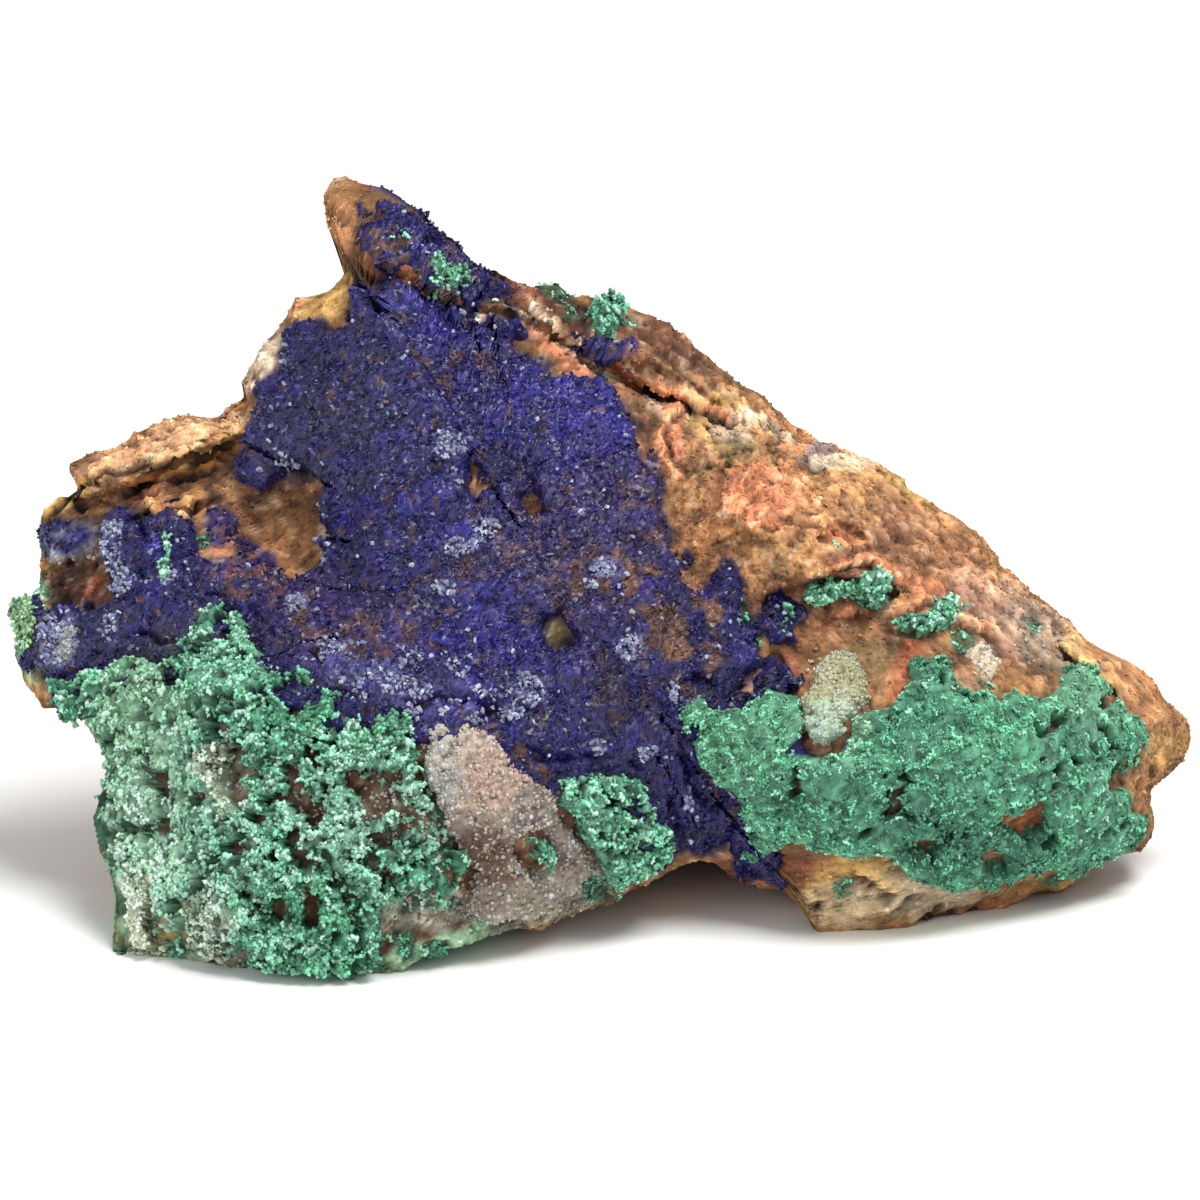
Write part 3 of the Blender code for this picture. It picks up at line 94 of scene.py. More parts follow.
# How far each named stretch of the front stands out: (across, up, out).
RELIEF = {
    "ridge": [
        (-17.8, 53.1, -3), (-17.1, 49.7, -2.5), (-13.7, 52.1, -4), (-9, 48.7, -4.5), (-2.9, 46.4, -4.5),
        (2.5, 44.7, -4.5), (7.9, 40.6, -4),
    ],
    "right slope": [
        (13.3, 36.9, -3), (18.1, 34.5, -3), (22.1, 31.5, -2.5), (26.9, 27.4, -2), (30.9, 24, -2),
        (35.7, 21, -2), (39.1, 16.9, -3), (5.9, 38.2, 0.5), (9.3, 36.2, 2.6), (12, 32.8, 5),
        (16.7, 32.8, 2.5), (18.7, 28.8, 4.2), (23.5, 27.4, 2), (28.2, 23.4, 1.8),
    ],
    "left shoulder": [
        (-20.5, 45.7, -3), (-23.9, 41.3, -3.5), (-24.6, 38.9, -3), (-30, 37.6, -4.5), (-34.7, 35.5, -5),
        (-37.4, 32.5, -4), (-39.1, 28.8, -5), (-39.3, 23.4, -5), (-38.1, 19.3, -2),
    ],
    "azurite face": [
        (-15.1, 46.4, -1), (-11, 43.7, 0), (-5.6, 40.9, 1.2), (-0.2, 38.2, 2), (3.9, 35.5, 2.8),
        (-18.5, 43, -0.5), (-21.9, 38.2, -0.5), (-17.8, 36.9, 1.8), (-12.4, 36.9, 3), (-5.6, 34.9, 4.2),
        (-0.2, 31.5, 5.5), (-15.1, 30.1, 5.6), (-8.3, 28.8, 7), (-1.6, 26.1, 7.6), (3.9, 27.4, 6.6),
        (-18.5, 24.7, 7.4), (-11.7, 22.7, 9.8), (-4.3, 20, 10), (2.5, 20, 8.3), (6.6, 22.7, 6.8),
        (6.6, 15.2, 6), (1.2, 13.2, 8), (6.6, 10.5, 3.8), (-23.9, 26.1, 4.5), (-30, 26.7, 1.8),
        (-35.4, 26.1, -1.8), (-36.8, 22.7, -1.8), (-33.4, 21.3, 1), (-27.3, 23.4, 5),
    ],
    "ochre hollow": [(-21.9, 31.5, 0), (-20.5, 28.1, 2.2), (-25.9, 32.8, -0.8), (-30, 31.5, -0.8)],
    "lower left": [
        (-26.3, 20, 8.5), (-24.6, 13.9, 11), (-23.6, 7.1, 12), (-18.5, 17.9, 12.2), (-17.1, 11.2, 13),
        (-17.1, 5.8, 12.6), (-10.4, 15.2, 12.4), (-10.4, 9.1, 11.8), (-2.9, 13.9, 10.4), (-2.9, 8.5, 9.4),
        (2.5, 9.1, 6.8), (-30.7, 15.2, 5), (-30, 9.1, 6.6), (-29.3, 4.4, 7.6),
    ],
    "foot line": [
        (-34, 16.6, 1.5), (-33.7, 13.2, 3), (-33.7, 9.8, 3.5), (-32.7, 5.8, 4.5), (-32.6, 2.4, 5.6),
        (-29.3, 2, 8), (-24.6, 1.4, 10.5), (-17.5, 0.7, 11), (-11.7, 3, 9.5), (-4.9, 4.5, 7.5),
        (0.5, 6.1, 5.5), (6.6, 9.1, 2.5), (10.6, 7.4, 1), (16, 3.4, 4), (20.1, 3.4, 3), (25.5, 5.4, 1.5),
        (30.9, 7.1, 0.5), (36.3, 9.8, -1),
    ],
    "right mass": [
        (7.9, 28.8, 4.8), (13.3, 28.8, 6), (15.4, 24.7, 5), (10.6, 23.4, 5.4), (15.4, 19.3, 6.5),
        (20.1, 22.7, 5.4), (10.6, 16.6, 7.2), (16, 13.9, 9), (22.1, 17.9, 8), (24.2, 12.5, 8.4),
        (30.9, 17.9, 4.2), (30.9, 12.5, 5.4), (35, 16.6, 2.2), (34.3, 11.2, 2.6), (18.1, 9.1, 7.6),
        (24.2, 8.5, 6), (29.6, 9.1, 4), (18.7, 5.8, 5.2), (13.3, 8.5, 4.6),
    ],
}
# Steps along a line: the left of the line is raised, the right dropped, and each fades over its reach.
LEDGES = [  # (line, raise, drop, reach of the raise, reach of the drop)
    ([(-36.9, 32.8), (-33.7, 33.4), (-30.7, 34.6), (-27.3, 36.1), (-23.9, 37.7)], 1.6, 2.6, 2.4, 1.8),
    ([(-34.6, 30.9), (-30.7, 32), (-28, 32.6), (-25.8, 33)], 0.9, 0.9, 0.8, 1.2),
    ([(-30.7, 36.1), (-28, 36.9), (-25.1, 38)], 0.5, 0.5, 1.4, 0.8),
    ([(-17.1, 49.1), (-14.6, 48.7), (-12.9, 47.9), (-10.2, 46.2), (-6.3, 45.7), (-1.9, 43.7),
      (1.7, 41.3), (3.5, 40.2)], 1.2, 0.9, 2.2, 1.8),
    ([(-0.2, 42.8), (3.2, 42.2), (6.6, 40.4), (9.4, 38.4)], 0.7, 0.5, 1.6, 1.2),
    ([(9.6, 25.7), (12, 27), (15.4, 27.7), (19.4, 27.1), (20.4, 25.8)], 0.7, 1.6, 1.5, 3.2),
    ([(14.1, 30), (15.7, 31.5), (17.5, 30.7), (18.2, 29)], 0.5, 0.7, 0.9, 0.9),
    ([(30.4, 23.4), (32.6, 21.7), (34.5, 20), (35.1, 18.2)], 0.8, 0.8, 1.6, 1.4),
    ([(9.4, 9.4), (12.7, 9.1), (16.7, 8.3), (20.1, 6.7), (24.2, 5.6), (29.6, 6.8)], 0.8, 1.1, 2.0, 2.2),
    ([(33.6, 14.1), (35.7, 14.6), (37.7, 15)], 0.5, 0.6, 1.2, 1.2),
    ([(-27.5, 26.3), (-26.3, 22), (-25.5, 15.2), (-24.7, 8.5), (-24.2, 1.7)], 0.5, -0.4, 1.6, 1.6),
]
GROOVES = [  # (line, depth, half width)
    ([(-1, 42.6), (1.5, 40.9), (3.9, 39.9), (6.2, 39.3)], 2.2, 0.45),
    ([(-17.5, 48.8), (-15.6, 48.1), (-14, 47.9)], 0.9, 0.5),
    ([(-20.5, 26.7), (-16.4, 26.1), (-11.7, 26.7)], 0.25, 0.6),
    ([(11.3, 23.4), (12.4, 20), (13.7, 16.2)], 0.9, 0.5),
    ([(16, 14.6), (18.1, 12.5), (19, 10.1)], 0.5, 0.45),
    ([(-14.1, 18.3), (-12.4, 13.9), (-9, 7.9), (-8.3, 3.7)], 0.7, 0.7),
]
BUMPS = [  # (place, half width, half height, height above its surroundings, squareness)
    ((-36.1, 26.9), 2.3, 2, -1.6, 4), ((-36.1, 26.9), 1.6, 1.4, 1.3, 4), ((-21.7, 30.9), 2.7, 3, -1.3, 4),
    ((-28.8, 31.5), 1.8, 0.8, 0.8, 2), ((9.6, 36.2), 2.3, 2.3, 1.0, 4), ((8.1, 37.2), 0.9, 0.9, -1.2, 2),
    ((5.9, 35.9), 1.1, 2.7, 0.9, 2), ((16.4, 34.7), 3.4, 1.2, 0.8, 2), ((16.7, 23.4), 3.9, 2.3, -0.9, 4),
    ((15.8, 19.3), 2.3, 3, 0.7, 4), ((16, 31.3), 1.2, 0.8, 0.9, 2), ((25.7, 21.5), 2, 1.5, 0.8, 4),
    ((37, 19.3), 1.6, 2, 0.6, 2), ((28.2, 11), 2, 1.2, -0.7, 4), ((-4.9, 32.1), 0.7, 0.8, -0.5, 2),
    ((-3.1, 23.9), 0.9, 1.2, -0.5, 2), ((-24.2, 13.5), 1.5, 2.4, -0.7, 4), ((-11.7, 5.3), 3, 1.5, -0.8, 4),
]
# The edge between front and back: how far out it lies at each bearing (degrees, out).
RIM = [
    (0, -8), (30, -7), (60, -7), (90, -6), (115, -4.5), (150, -5.5), (180, -6.5), (200, -2), (215, 4.5),
    (235, 8), (250, 9), (270, 4), (295, -1), (308, 1), (320, -2), (340, -6),
]
# The broken rear is the nearest of these flat fractures: (out at the frame's origin, slope across, slope up).
FRACTURES = [
    (-24.5, 0.02, 0.16), (-26.0, 0.3, 0.08), (-26.5, -0.36, 0.14), (-33.0, 0.14, 0.56), (-30.0, -0.2, 0.46),
    (-27.5, 0.22, 0.34),
]
REAR_LEDGES = [  # as LEDGES, on the rear
    ([(-36.0, 20.0), (-20.0, 25.0), (-6.0, 24.0), (6.0, 29.0)], 1.4, 1.2, 5.0, 4.0),
    ([(-24.0, 34.0), (-12.0, 37.0), (-4.0, 45.0)], 1.0, 1.2, 3.0, 3.0),
    ([(2.0, 12.0), (14.0, 20.0), (24.0, 19.0), (35.0, 13.0)], 1.3, 1.0, 4.0, 4.0),
    ([(-30.0, 8.0), (-18.0, 13.0), (-8.0, 8.0)], -0.9, -1.1, 4.0, 3.0),
]
PADS = [  # flat resting faces of the underside: (x, y, half width, half depth)
    (-24.0, -2.0, 8.0, 4.8), (-13.0, 17.0, 9.0, 4.6), (20.0, 3.5, 6.5, 4.2), (22.0, 14.5, 6.5, 4.2),
]


# ---------------- numbers on arrays of points


def smooth(value, low, high):
    """0 below low, 1 above high, an S-curve between."""
    share = np.clip((value - low) / (high - low), 0.0, 1.0)
    return share * share * (3.0 - 2.0 * share)


def corner_value(cells, seed):
    """A repeatable number from 0 to 1 for each whole-number cell."""
    mixed = cells[:, 0] * 73856093 ^ cells[:, 1] * 19349663 ^ cells[:, 2] * 83492791 ^ (seed * 40503 + 977)
    mixed = (mixed ^ (mixed >> 13)) & 0xFFFFFFFF
    mixed = (mixed * 1274126177) & 0xFFFFFFFF
    return ((mixed ^ (mixed >> 16)) & 0xFFFFFF) / float(0xFFFFFF)


def grain(points, seed):
    """Smooth noise from -1 to 1: corner values of unit cells, blended with a fifth-power curve."""
    cell = np.floor(points).astype(np.int64)
    part = points - cell
    part = part * part * part * (part * (part * 6.0 - 15.0) + 10.0)
    total = np.zeros(len(points))
    for corner in np.ndindex(2, 2, 2):
        weight = np.prod(np.where(corner, part, 1.0 - part), axis=1)
        total += weight * corner_value(cell + np.array(corner), seed)
    return total * 2.0 - 1.0


def layered_grain(points, size, layers, seed):
    """Noise whose broadest waves are size wide, each layer twice as fine and half as strong."""
    total = np.zeros(len(points))
    for layer in range(layers):
        total += grain(points * 2.03**layer / size + 17.3 * layer, seed + layer) * 0.5**layer
    return total


def beside_line(points, line):
    """Distance to a bent line, which side of it (+1 is left), and the share of its length passed."""
    line = np.array(line)
    steps = np.diff(line, axis=0)
    lengths = np.hypot(*steps.T)
    passed = np.r_[0.0, np.cumsum(lengths)]
    nearest, side, share = np.full(len(points), 1e9), np.ones(len(points)), np.zeros(len(points))
    for start, step, length, before in zip(line, steps, lengths, passed):
        away = points - start
        along = np.clip(away @ step / length**2, 0.0, 1.0)
        gap = np.hypot(*(away - along[:, None] * step).T)
        turn = np.sign(step[0] * away[:, 1] - step[1] * away[:, 0])
        closer = gap < nearest
        nearest = np.where(closer, gap, nearest)
        side = np.where(closer, turn, side)
        share = np.where(closer, (before + along * length) / passed[-1], share)
    return nearest, side, share


def fading_ends(share, end=0.14):
    """1 along a line, falling to 0 at its two ends."""
    return smooth(share, 0.0, end) * smooth(1.0 - share, 0.0, end)


def one_sided(signed, reach):
    """Falls from 1 at a line towards 0 over the reach on its positive side, and stays 1 on the other."""
    return np.exp(-((np.maximum(signed, 0.0) / reach) ** 2))


def polar(bearing, reach):
    """Places at a distance from HEART, each at its own bearing."""
    return np.array(HEART) + reach[:, None] * np.column_stack([np.cos(bearing), np.sin(bearing)])


# ---------------- the lump's surface


def edge_table():
    """Bearings and distances of the outline about HEART, SIDE_STEPS steps a side."""
    corners = np.array(OUTLINE)
    sides = np.roll(corners, -1, axis=0) - corners
    steps = np.arange(SIDE_STEPS)[None, :, None] / SIDE_STEPS
    points = (corners[:, None] + sides[:, None] * steps).reshape(-1, 2) - np.array(HEART)
    bearing, reach = np.arctan2(points[:, 1], points[:, 0]), np.hypot(*points.T)
    order = np.argsort(bearing)
    return bearing[order], reach[order]


def shoulder_table():
    """Share of the way round the rounded edge against how far across and how far up its quarter curve is."""
    turn = np.linspace(0.0, math.pi / 2.0, 400)
    across, rise = np.sin(turn) ** (2.0 / SHOULDER), np.cos(turn) ** (2.0 / SHOULDER)
    steps = np.hypot(np.diff(across) * EDGE_REACH[0], np.diff(rise) * EDGE_REACH[1])
    walked = np.r_[0.0, np.cumsum(steps)]
    return walked / walked[-1], across, rise


def thin_plate(gap2):
    """The thin-plate kernel of a squared distance."""
    return 0.5 * gap2 * np.log(np.maximum(gap2, 1e-9))


def fit_relief():
    """Weights of the smoothest sheet through all the relief points, slightly relaxed."""
    marks = np.array([mark for stretch in RELIEF.values() for mark in stretch], dtype=float)
    places, count = marks[:, :2], len(marks)
    gap2 = ((places[:, None] - places[None]) ** 2).sum(axis=2)
    system = np.zeros((count + 3, count + 3))
    system[:count, :count] = thin_plate(gap2) + SHEET_EASE * np.eye(count)
    system[:count, count] = system[count, :count] = 1.0
    system[:count, count + 1 :], system[count + 1 :, :count] = places, places.T
    return places, np.linalg.solve(system, np.r_[marks[:, 2], 0.0, 0.0, 0.0])


def calm_reach_table():
    """A smooth reach inside the outline: the least reach nearby, averaged over CALM_SPAN degrees."""
    bearing = np.radians(np.arange(360.0))
    reach = np.interp(bearing, BEARINGS, REACHES, period=2.0 * math.pi)
    span = range(-CALM_SPAN, CALM_SPAN + 1)
    least = np.min([np.roll(reach, turn) for turn in span], axis=0)
    return bearing, np.mean([np.roll(least, turn) for turn in span], axis=0)


BEARINGS, REACHES = edge_table()
CALM_BEARINGS, CALM_REACHES = calm_reach_table()
WALKED, ACROSS, RISE = shoulder_table()
SHEET_PLACES, SHEET_WEIGHTS = fit_relief()


def edge_reach(bearing):
    """Distance from HEART to the outline at a bearing."""
    return np.interp(bearing, BEARINGS, REACHES, period=2.0 * math.pi)


def steps_along(places, ledges):
    """Height of the steps along lines: raised on the left of each line, dropped on its right."""
    height = np.zeros(len(places))
    for line, lift, drop, reach_up, reach_down in ledges:
        gap, side, share = beside_line(places, line)
        signed = gap * side
        upper = lift * one_sided(signed, reach_up)
        lower = -drop * one_sided(-signed, reach_down)
        step = smooth(signed, -0.3, 0.3)
        height += fading_ends(share) * (lower * (1.0 - step) + upper * step)
    return height


def reach_across(bearing, share):
    """Distance from HEART of a share of the way to the edge: calm inside, true to the outline at the edge."""
    calm = np.interp(bearing, CALM_BEARINGS, CALM_REACHES, period=2.0 * math.pi)
    ragged = smooth(share, RAGGED_FROM, 1.0)
    return np.interp(share, WALKED, ACROSS) * (calm + (edge_reach(bearing) - calm) * ragged)


def front_out(places):
    """How far out the front stands at each place on the face: the sheet, then ledges, grooves and bumps."""
    gap2 = ((places[:, None] - SHEET_PLACES[None]) ** 2).sum(axis=2)
    count = len(SHEET_PLACES)
    out = thin_plate(gap2) @ SHEET_WEIGHTS[:count] + SHEET_WEIGHTS[count]
    out = out + places @ SHEET_WEIGHTS[count + 1 :] + steps_along(places, LEDGES)
    for line, depth, half_width in GROOVES:
        gap, _, share = beside_line(places, line)
        out = out - depth * np.exp(-((gap / half_width) ** 2)) * fading_ends(share)
    for place, half_wide, half_high, height, squareness in BUMPS:
        away2 = (((places - np.array(place)) / (half_wide, half_high)) ** 2).sum(axis=1)
        out = out + height * np.exp(-(away2 ** (squareness / 2.0)))
    return out


def back_out(places):
    """How far out the rear lies: the nearest of the flat fractures with its corners eased, then the steps."""
    flats = np.stack([start + across * places[:, 0] + up * places[:, 1] for start, across, up in FRACTURES])
    return np.log(np.exp(flats * CORNER).sum(axis=0)) / CORNER - steps_along(places, REAR_LEDGES)


def face_points(bearing, share):
    """Places in the face frame: shares of 0 to 1 are the front, from HEART to the edge, 1 to 2 the rear."""
    walked = np.where(share <= 1.0, share, 2.0 - share)
    rise = np.interp(walked, WALKED, RISE)
    places = polar(bearing, reach_across(bearing, walked))
    rim = np.interp(np.degrees(bearing) % 360.0, *zip(*RIM), period=360.0)
    surface = np.where(share <= 1.0, front_out(places), back_out(places))
    points = np.column_stack([places, rim + (surface - rim) * rise])
    heel_place, heel_shift, heel_width = HEEL
    near = np.exp(-((places - np.array(heel_place)) ** 2).sum(axis=1) / (2.0 * heel_width**2))
    points[:, 0] -= heel_shift * near
    rough = ROUGHNESS * layered_grain(points, ROUGH_SIZE, 3, SEED) * smooth(rise, 0.0, 0.45)
    points[:, 2] += np.where(share <= 1.0, rough, rough * REAR_ROUGHER)
    return points


def stand_up(points):
    """Face frame to the standing frame: the face leans back and its origin drops below the floor."""
    across, up, out = points.T
    sin, cos = math.sin(LEAN), math.cos(LEAN)
    return np.column_stack([across, up * sin - out * cos, up * cos + out * sin - FLOOR_DROP])


def close_underside(points):
    """Draws what lies below the floor in towards the core, leaving flat pads and shallow hollows between."""
    core = stand_up(np.array([[HEART[0], CORE_UP, CORE_OUT]]))[0]
    depth = np.maximum(-points[:, 2], 0.0)
    share = depth / (core[2] + depth) * smooth(depth, *CLOSING)
    closed = points + (core - points) * share[:, None]
    flat = np.zeros(len(points))
    for x, y, half_wide, half_deep in PADS:
        away = np.hypot((closed[:, 0] - x) / half_wide, (closed[:, 1] - y) / half_deep)
        flat = np.maximum(flat, 1.0 - smooth(away, *PAD_FADE))
    hollow = HOLLOW + HOLLOW_SWING * layered_grain(closed, HOLLOW_SIZE, 2, SEED + 40)
    hollow = hollow * smooth(depth, 0.4, 2.0) * (1.0 - flat)
    closed[:, 2] = np.where(depth > 0.0, np.maximum(hollow, 0.0), points[:, 2])
    return closed


def settle(points):
    """Moves standing points so that the lump's box is centred on the origin."""
    return points - np.array([*CENTRE, 0.0])


def lump(bearing, share):
    """Points of the lump's surface, standing on the floor and centred on the origin."""
    return settle(close_underside(stand_up(face_points(bearing, share))))


# Where each crust lies: (thickness, outline, windows onto bare rock).
CRUSTS = {
    "azurite_face_crust": (0.75, [
        (-16.1, 47.2), (-14.8, 47.6), (-13.5, 47.2), (-11.8, 46), (-10.6, 44.9), (-9.3, 44.6), (-8.1, 45.1),
        (-6.6, 45), (-5.3, 44.1), (-6.5, 43.5), (-5.5, 42.7), (-4.2, 42), (-3.4, 40.8), (-1.8, 40.7),
        (-0.2, 40.9), (0.7, 39.9), (1.6, 38.8), (2.1, 37.7), (2.3, 36.5), (2.8, 35), (3.9, 34.2),
        (3.6, 32.6), (4.2, 31.1), (4.7, 28.8), (5.3, 26.9), (6.3, 26.2), (7.4, 26.9), (8, 28.5),
        (8.9, 28.1), (9.5, 26.7), (9.3, 25.4), (10.8, 24), (10.4, 22.8), (11, 21.9), (10.1, 21),
        (8.6, 19.8), (7.2, 20.2), (6, 21), (4.7, 20.4), (4.4, 19.3), (4.5, 17.7), (5, 15.8), (5.8, 13.7),
        (7.4, 13.2), (8.6, 12.8), (8.7, 11.3), (8.2, 9.8), (6.8, 9), (5.3, 9.3), (4.4, 10.6), (4, 12.5),
        (2.9, 14.1), (1.2, 15.1), (-1.3, 15.5), (-3.9, 15.4), (-6.2, 16.7), (-8.2, 18.7), (-10.4, 19),
        (-12.5, 19.2), (-14.8, 18.7), (-17.1, 19), (-18.5, 20.1), (-19.3, 21.7), (-20.5, 20.9),
        (-21.6, 21.5), (-22.4, 23.4), (-23.6, 25), (-25.5, 25.8), (-26.9, 25.7), (-27.5, 24.3), (-28, 23.1),
        (-29.4, 22.5), (-30.7, 23.4), (-32.1, 22.9), (-33.6, 22), (-35.1, 21.3), (-36.6, 20.8),
        (-37.7, 20.8), (-38.2, 21.6), (-38.1, 22.9), (-37.8, 24.6), (-36.8, 25.3), (-34.5, 25.2),
        (-33.4, 25.8), (-33.2, 27.4), (-33.8, 29.3), (-34, 30.9), (-32.1, 31.7), (-30.9, 31.2),
        (-30.5, 28.8), (-30, 26.5), (-28.2, 26.6), (-28.2, 28.8), (-26.9, 29), (-24.6, 28.2), (-22.7, 27.7),
        (-20.5, 26.9), (-19.3, 28), (-18.4, 29.3), (-18.9, 32), (-19.2, 34.3), (-20, 35.1), (-21.3, 35),
        (-22.1, 34.3), (-23.1, 33.6), (-24.7, 34.3), (-24.8, 35.5), (-24.1, 37), (-23.1, 39.3), (-23.9, 40),
        (-23.1, 40.8), (-21.6, 41.5), (-21.4, 43), (-21.3, 44), (-20.4, 44.9), (-19.2, 45), (-18.3, 44.2),
        (-17.1, 44.7), (-16.7, 46.1),
    ], [
        [(-5.6, 32.8), (-4.9, 33.5), (-4.2, 32.8), (-4.1, 31.9), (-4.7, 31.1), (-5.4, 31.6)],
        [(-3.9, 25), (-2.9, 25.2), (-2.1, 24.4), (-2.2, 23.1), (-3.2, 22.5), (-4, 23.5)],
        [(-9.1, 34.2), (-8.2, 34.6), (-7.9, 33.5), (-8.5, 32.7), (-9, 33.2)],
        [(-37.4, 24.4), (-36.6, 24.8), (-34.9, 24.6), (-34.6, 23.8), (-34.7, 22.4), (-35.1, 21.5),
         (-37.1, 21.5), (-37.4, 22.7)],
    ]),
    "azurite_ridge_crust": (0.6, [
        (-16, 53.1), (-14.8, 53.4), (-13.6, 52.7), (-12.1, 51.6), (-11, 50.6), (-9.9, 49.6), (-9.3, 48.8),
        (-8.3, 47.9), (-7.1, 47.7), (-5.9, 47), (-6.7, 46.4), (-7.9, 46.6), (-8.7, 47.4), (-9.5, 48.1),
        (-10.5, 48.9), (-11.4, 49.6), (-12.5, 50.4), (-13.5, 51.4), (-14.6, 51.5), (-15.6, 51.9),
    ], []),
    "azurite_low_lobe": (0.5, [
        (9.1, 8.3), (9.5, 8.7), (10.2, 8.3), (10.8, 7.5), (10.1, 7.2), (9.4, 7.6),
    ], []),
    "malachite_left_crust": (1.0, [
        (-26.7, 25), (-25.7, 25.1), (-24.2, 24.4), (-23.1, 22.8), (-22.3, 20.8), (-21, 20.4), (-19.8, 20.9),
        (-19, 19.6), (-17.7, 18.5), (-15.6, 18.2), (-13.9, 18.3), (-12.9, 17.8), (-12.8, 15.9),
        (-12.4, 13.7), (-11.7, 12.1), (-10.6, 10.1), (-9.8, 7.9), (-10.4, 6.3), (-11.7, 5.9), (-13.3, 6.7),
        (-14.6, 5.9), (-15.1, 4.3), (-14.6, 2.8), (-15.8, 1.8), (-17.5, 1.3), (-19.7, 1.7), (-21.6, 1.8),
        (-23.1, 2.4), (-23.8, 3.7), (-24.6, 2.4), (-25.8, 2.2), (-26.9, 3), (-27.5, 4.7), (-28.4, 2.8),
        (-30, 2.5), (-31.3, 3), (-31.7, 5.8), (-32, 8.1), (-32.8, 9.9), (-33, 11.4), (-32.3, 13.2),
        (-32.4, 15.1), (-33.2, 16.7), (-34.2, 18.2), (-35.4, 19), (-36.6, 19.4), (-36.8, 20.1),
        (-34.7, 20.6), (-33.2, 21.3), (-31.9, 22.3), (-30.7, 22.7), (-29.7, 21.9), (-28.4, 22.3),
        (-27.4, 21.7), (-27.3, 23.6),
    ], [
        [(-25, 15.5), (-24, 15.8), (-23.2, 14.7), (-23.1, 12.8), (-23.8, 11.7), (-24.6, 12.5),
         (-25.1, 13.9)],
        [(-20.5, 7.5), (-19.6, 7.8), (-18.9, 6.8), (-19.7, 6.2)],
        [(-17.3, 14.6), (-16.3, 15), (-15.8, 13.7), (-16.6, 12.8), (-17.3, 13.5)],
    ]),
    "malachite_middle_crust": (0.9, [
        (-3.2, 14.3), (-1.4, 14.8), (0.6, 14.7), (2.2, 13.9), (3, 12.5), (3.6, 11), (4.1, 9.7), (3.5, 8.6),
        (2, 7.9), (0.5, 7.2), (-0.3, 7.9), (-0.1, 9.1), (-1, 9.9), (-2, 11.3), (-2.9, 12.8),
    ], []),
    "malachite_right_crust": (0.9, [
        (5.2, 18.9), (5.6, 19.7), (6.6, 19.7), (7.6, 19), (9.3, 18.7), (10.6, 19.4), (11.6, 21),
        (12.4, 19.3), (12.8, 17.4), (13.6, 15.9), (14.8, 15.8), (16.4, 16.4), (18.1, 18.5), (19.4, 18.9),
        (20.2, 20.2), (21.6, 22), (23.1, 21.9), (23.8, 20.2), (25.2, 19.4), (26.7, 18.5), (28.2, 19.4),
        (30, 19.3), (30.9, 20.1), (31.3, 21.7), (32.8, 21), (33.9, 20), (33.5, 18.9), (34.9, 18.2),
        (36.3, 17.7), (36.8, 16.4), (35.8, 15.5), (34.3, 15), (33.5, 13.7), (34.9, 12.9), (35, 11.6),
        (36.1, 11.4), (35.5, 9.8), (34.2, 9.3), (32.6, 8.5), (30.9, 7.9), (29.6, 8.3), (27.5, 7.6),
        (25.7, 7.1), (23.6, 7), (21.2, 7.6), (18.7, 9.1), (16.4, 9.7), (14.3, 9.7), (12.4, 10.4),
        (11.2, 9.5), (9.8, 9.5), (9.5, 11.2), (9.4, 13.2), (8.1, 14), (6.7, 14.1), (5.9, 15.8),
    ], [
        [(26.6, 11.7), (28.4, 12.3), (29.8, 12.3), (29.6, 11.2), (28.1, 10.1), (26.9, 10.6)],
        [(20.4, 10.1), (21.5, 10.4), (22.3, 9.8), (21.5, 9.3)],
        [(25.5, 9.1), (26.5, 9.4), (26.9, 8.7), (25.9, 8.3)],
    ]),
    "malachite_edge_crust": (0.5, [
        (-39.2, 25.8), (-38.7, 26.1), (-38.4, 25.2), (-38.4, 23.9), (-38.7, 22.8), (-39.1, 22.2),
        (-39.5, 23.4),
    ], []),
    "malachite_streak": (0.55, [
        (-30, 30.8), (-29.3, 30.9), (-28.9, 29.8), (-28.8, 28.8), (-28.9, 27.1), (-29.6, 27), (-30, 28.8),
    ], []),
    "malachite_peak_tuft": (0.8, [
        (-15.4, 50.4), (-14.6, 50.8), (-13.7, 51.1), (-12.9, 50.7), (-13.5, 49.9), (-14.6, 49.6),
    ], []),
    "malachite_ridge_tuft": (0.8, [
        (-12.1, 48.9), (-11.2, 48.8), (-10.2, 48.3), (-9.3, 47.6), (-9, 46.6), (-9.9, 46.2), (-11, 46.8),
        (-11.8, 47.7),
    ], []),
    "malachite_crest_tuft": (0.8, [
        (-1, 45.5), (0.1, 46.2), (1.2, 45.8), (1.4, 44.9), (0.6, 44.2), (0.2, 43.4), (-0.5, 43.8),
        (-0.7, 44.6),
    ], []),
    "malachite_brow_tuft": (0.7, [
        (13.2, 26.5), (13.9, 27.3), (15.1, 27.7), (16.3, 27.3), (17.3, 27.7), (18.3, 27.7), (19.3, 27.1),
        (19.2, 26.1), (18.2, 25.7), (17.4, 26.5), (16.2, 26.3), (15, 25.9), (13.7, 25.8),
    ], []),
    "malachite_slope_tuft": (0.7, [
        (19.8, 24.8), (20.6, 24.7), (21.6, 24.3), (22.3, 25.2), (23.1, 25.8), (23.9, 25.4), (23.5, 24.6),
        (22.3, 23.8), (21, 23.5), (20.1, 24),
    ], []),
    "malachite_hollow_tuft": (0.7, [
        (11.7, 25.7), (12.4, 26.1), (12.9, 25.4), (12.7, 24.3), (12, 23.9), (11.6, 24.7),
    ], []),
    "pale_front_druse": (0.45, [
        (-12.1, 17.4), (-11, 18.1), (-9, 18.1), (-7.9, 17.3), (-6.4, 15.6), (-4.7, 14.6), (-3.5, 13.1),
        (-2.5, 11.3), (-1.4, 9.7), (-0.6, 8.3), (-1.6, 6.8), (-3.2, 6), (-4.5, 4.9), (-6.2, 4.8),
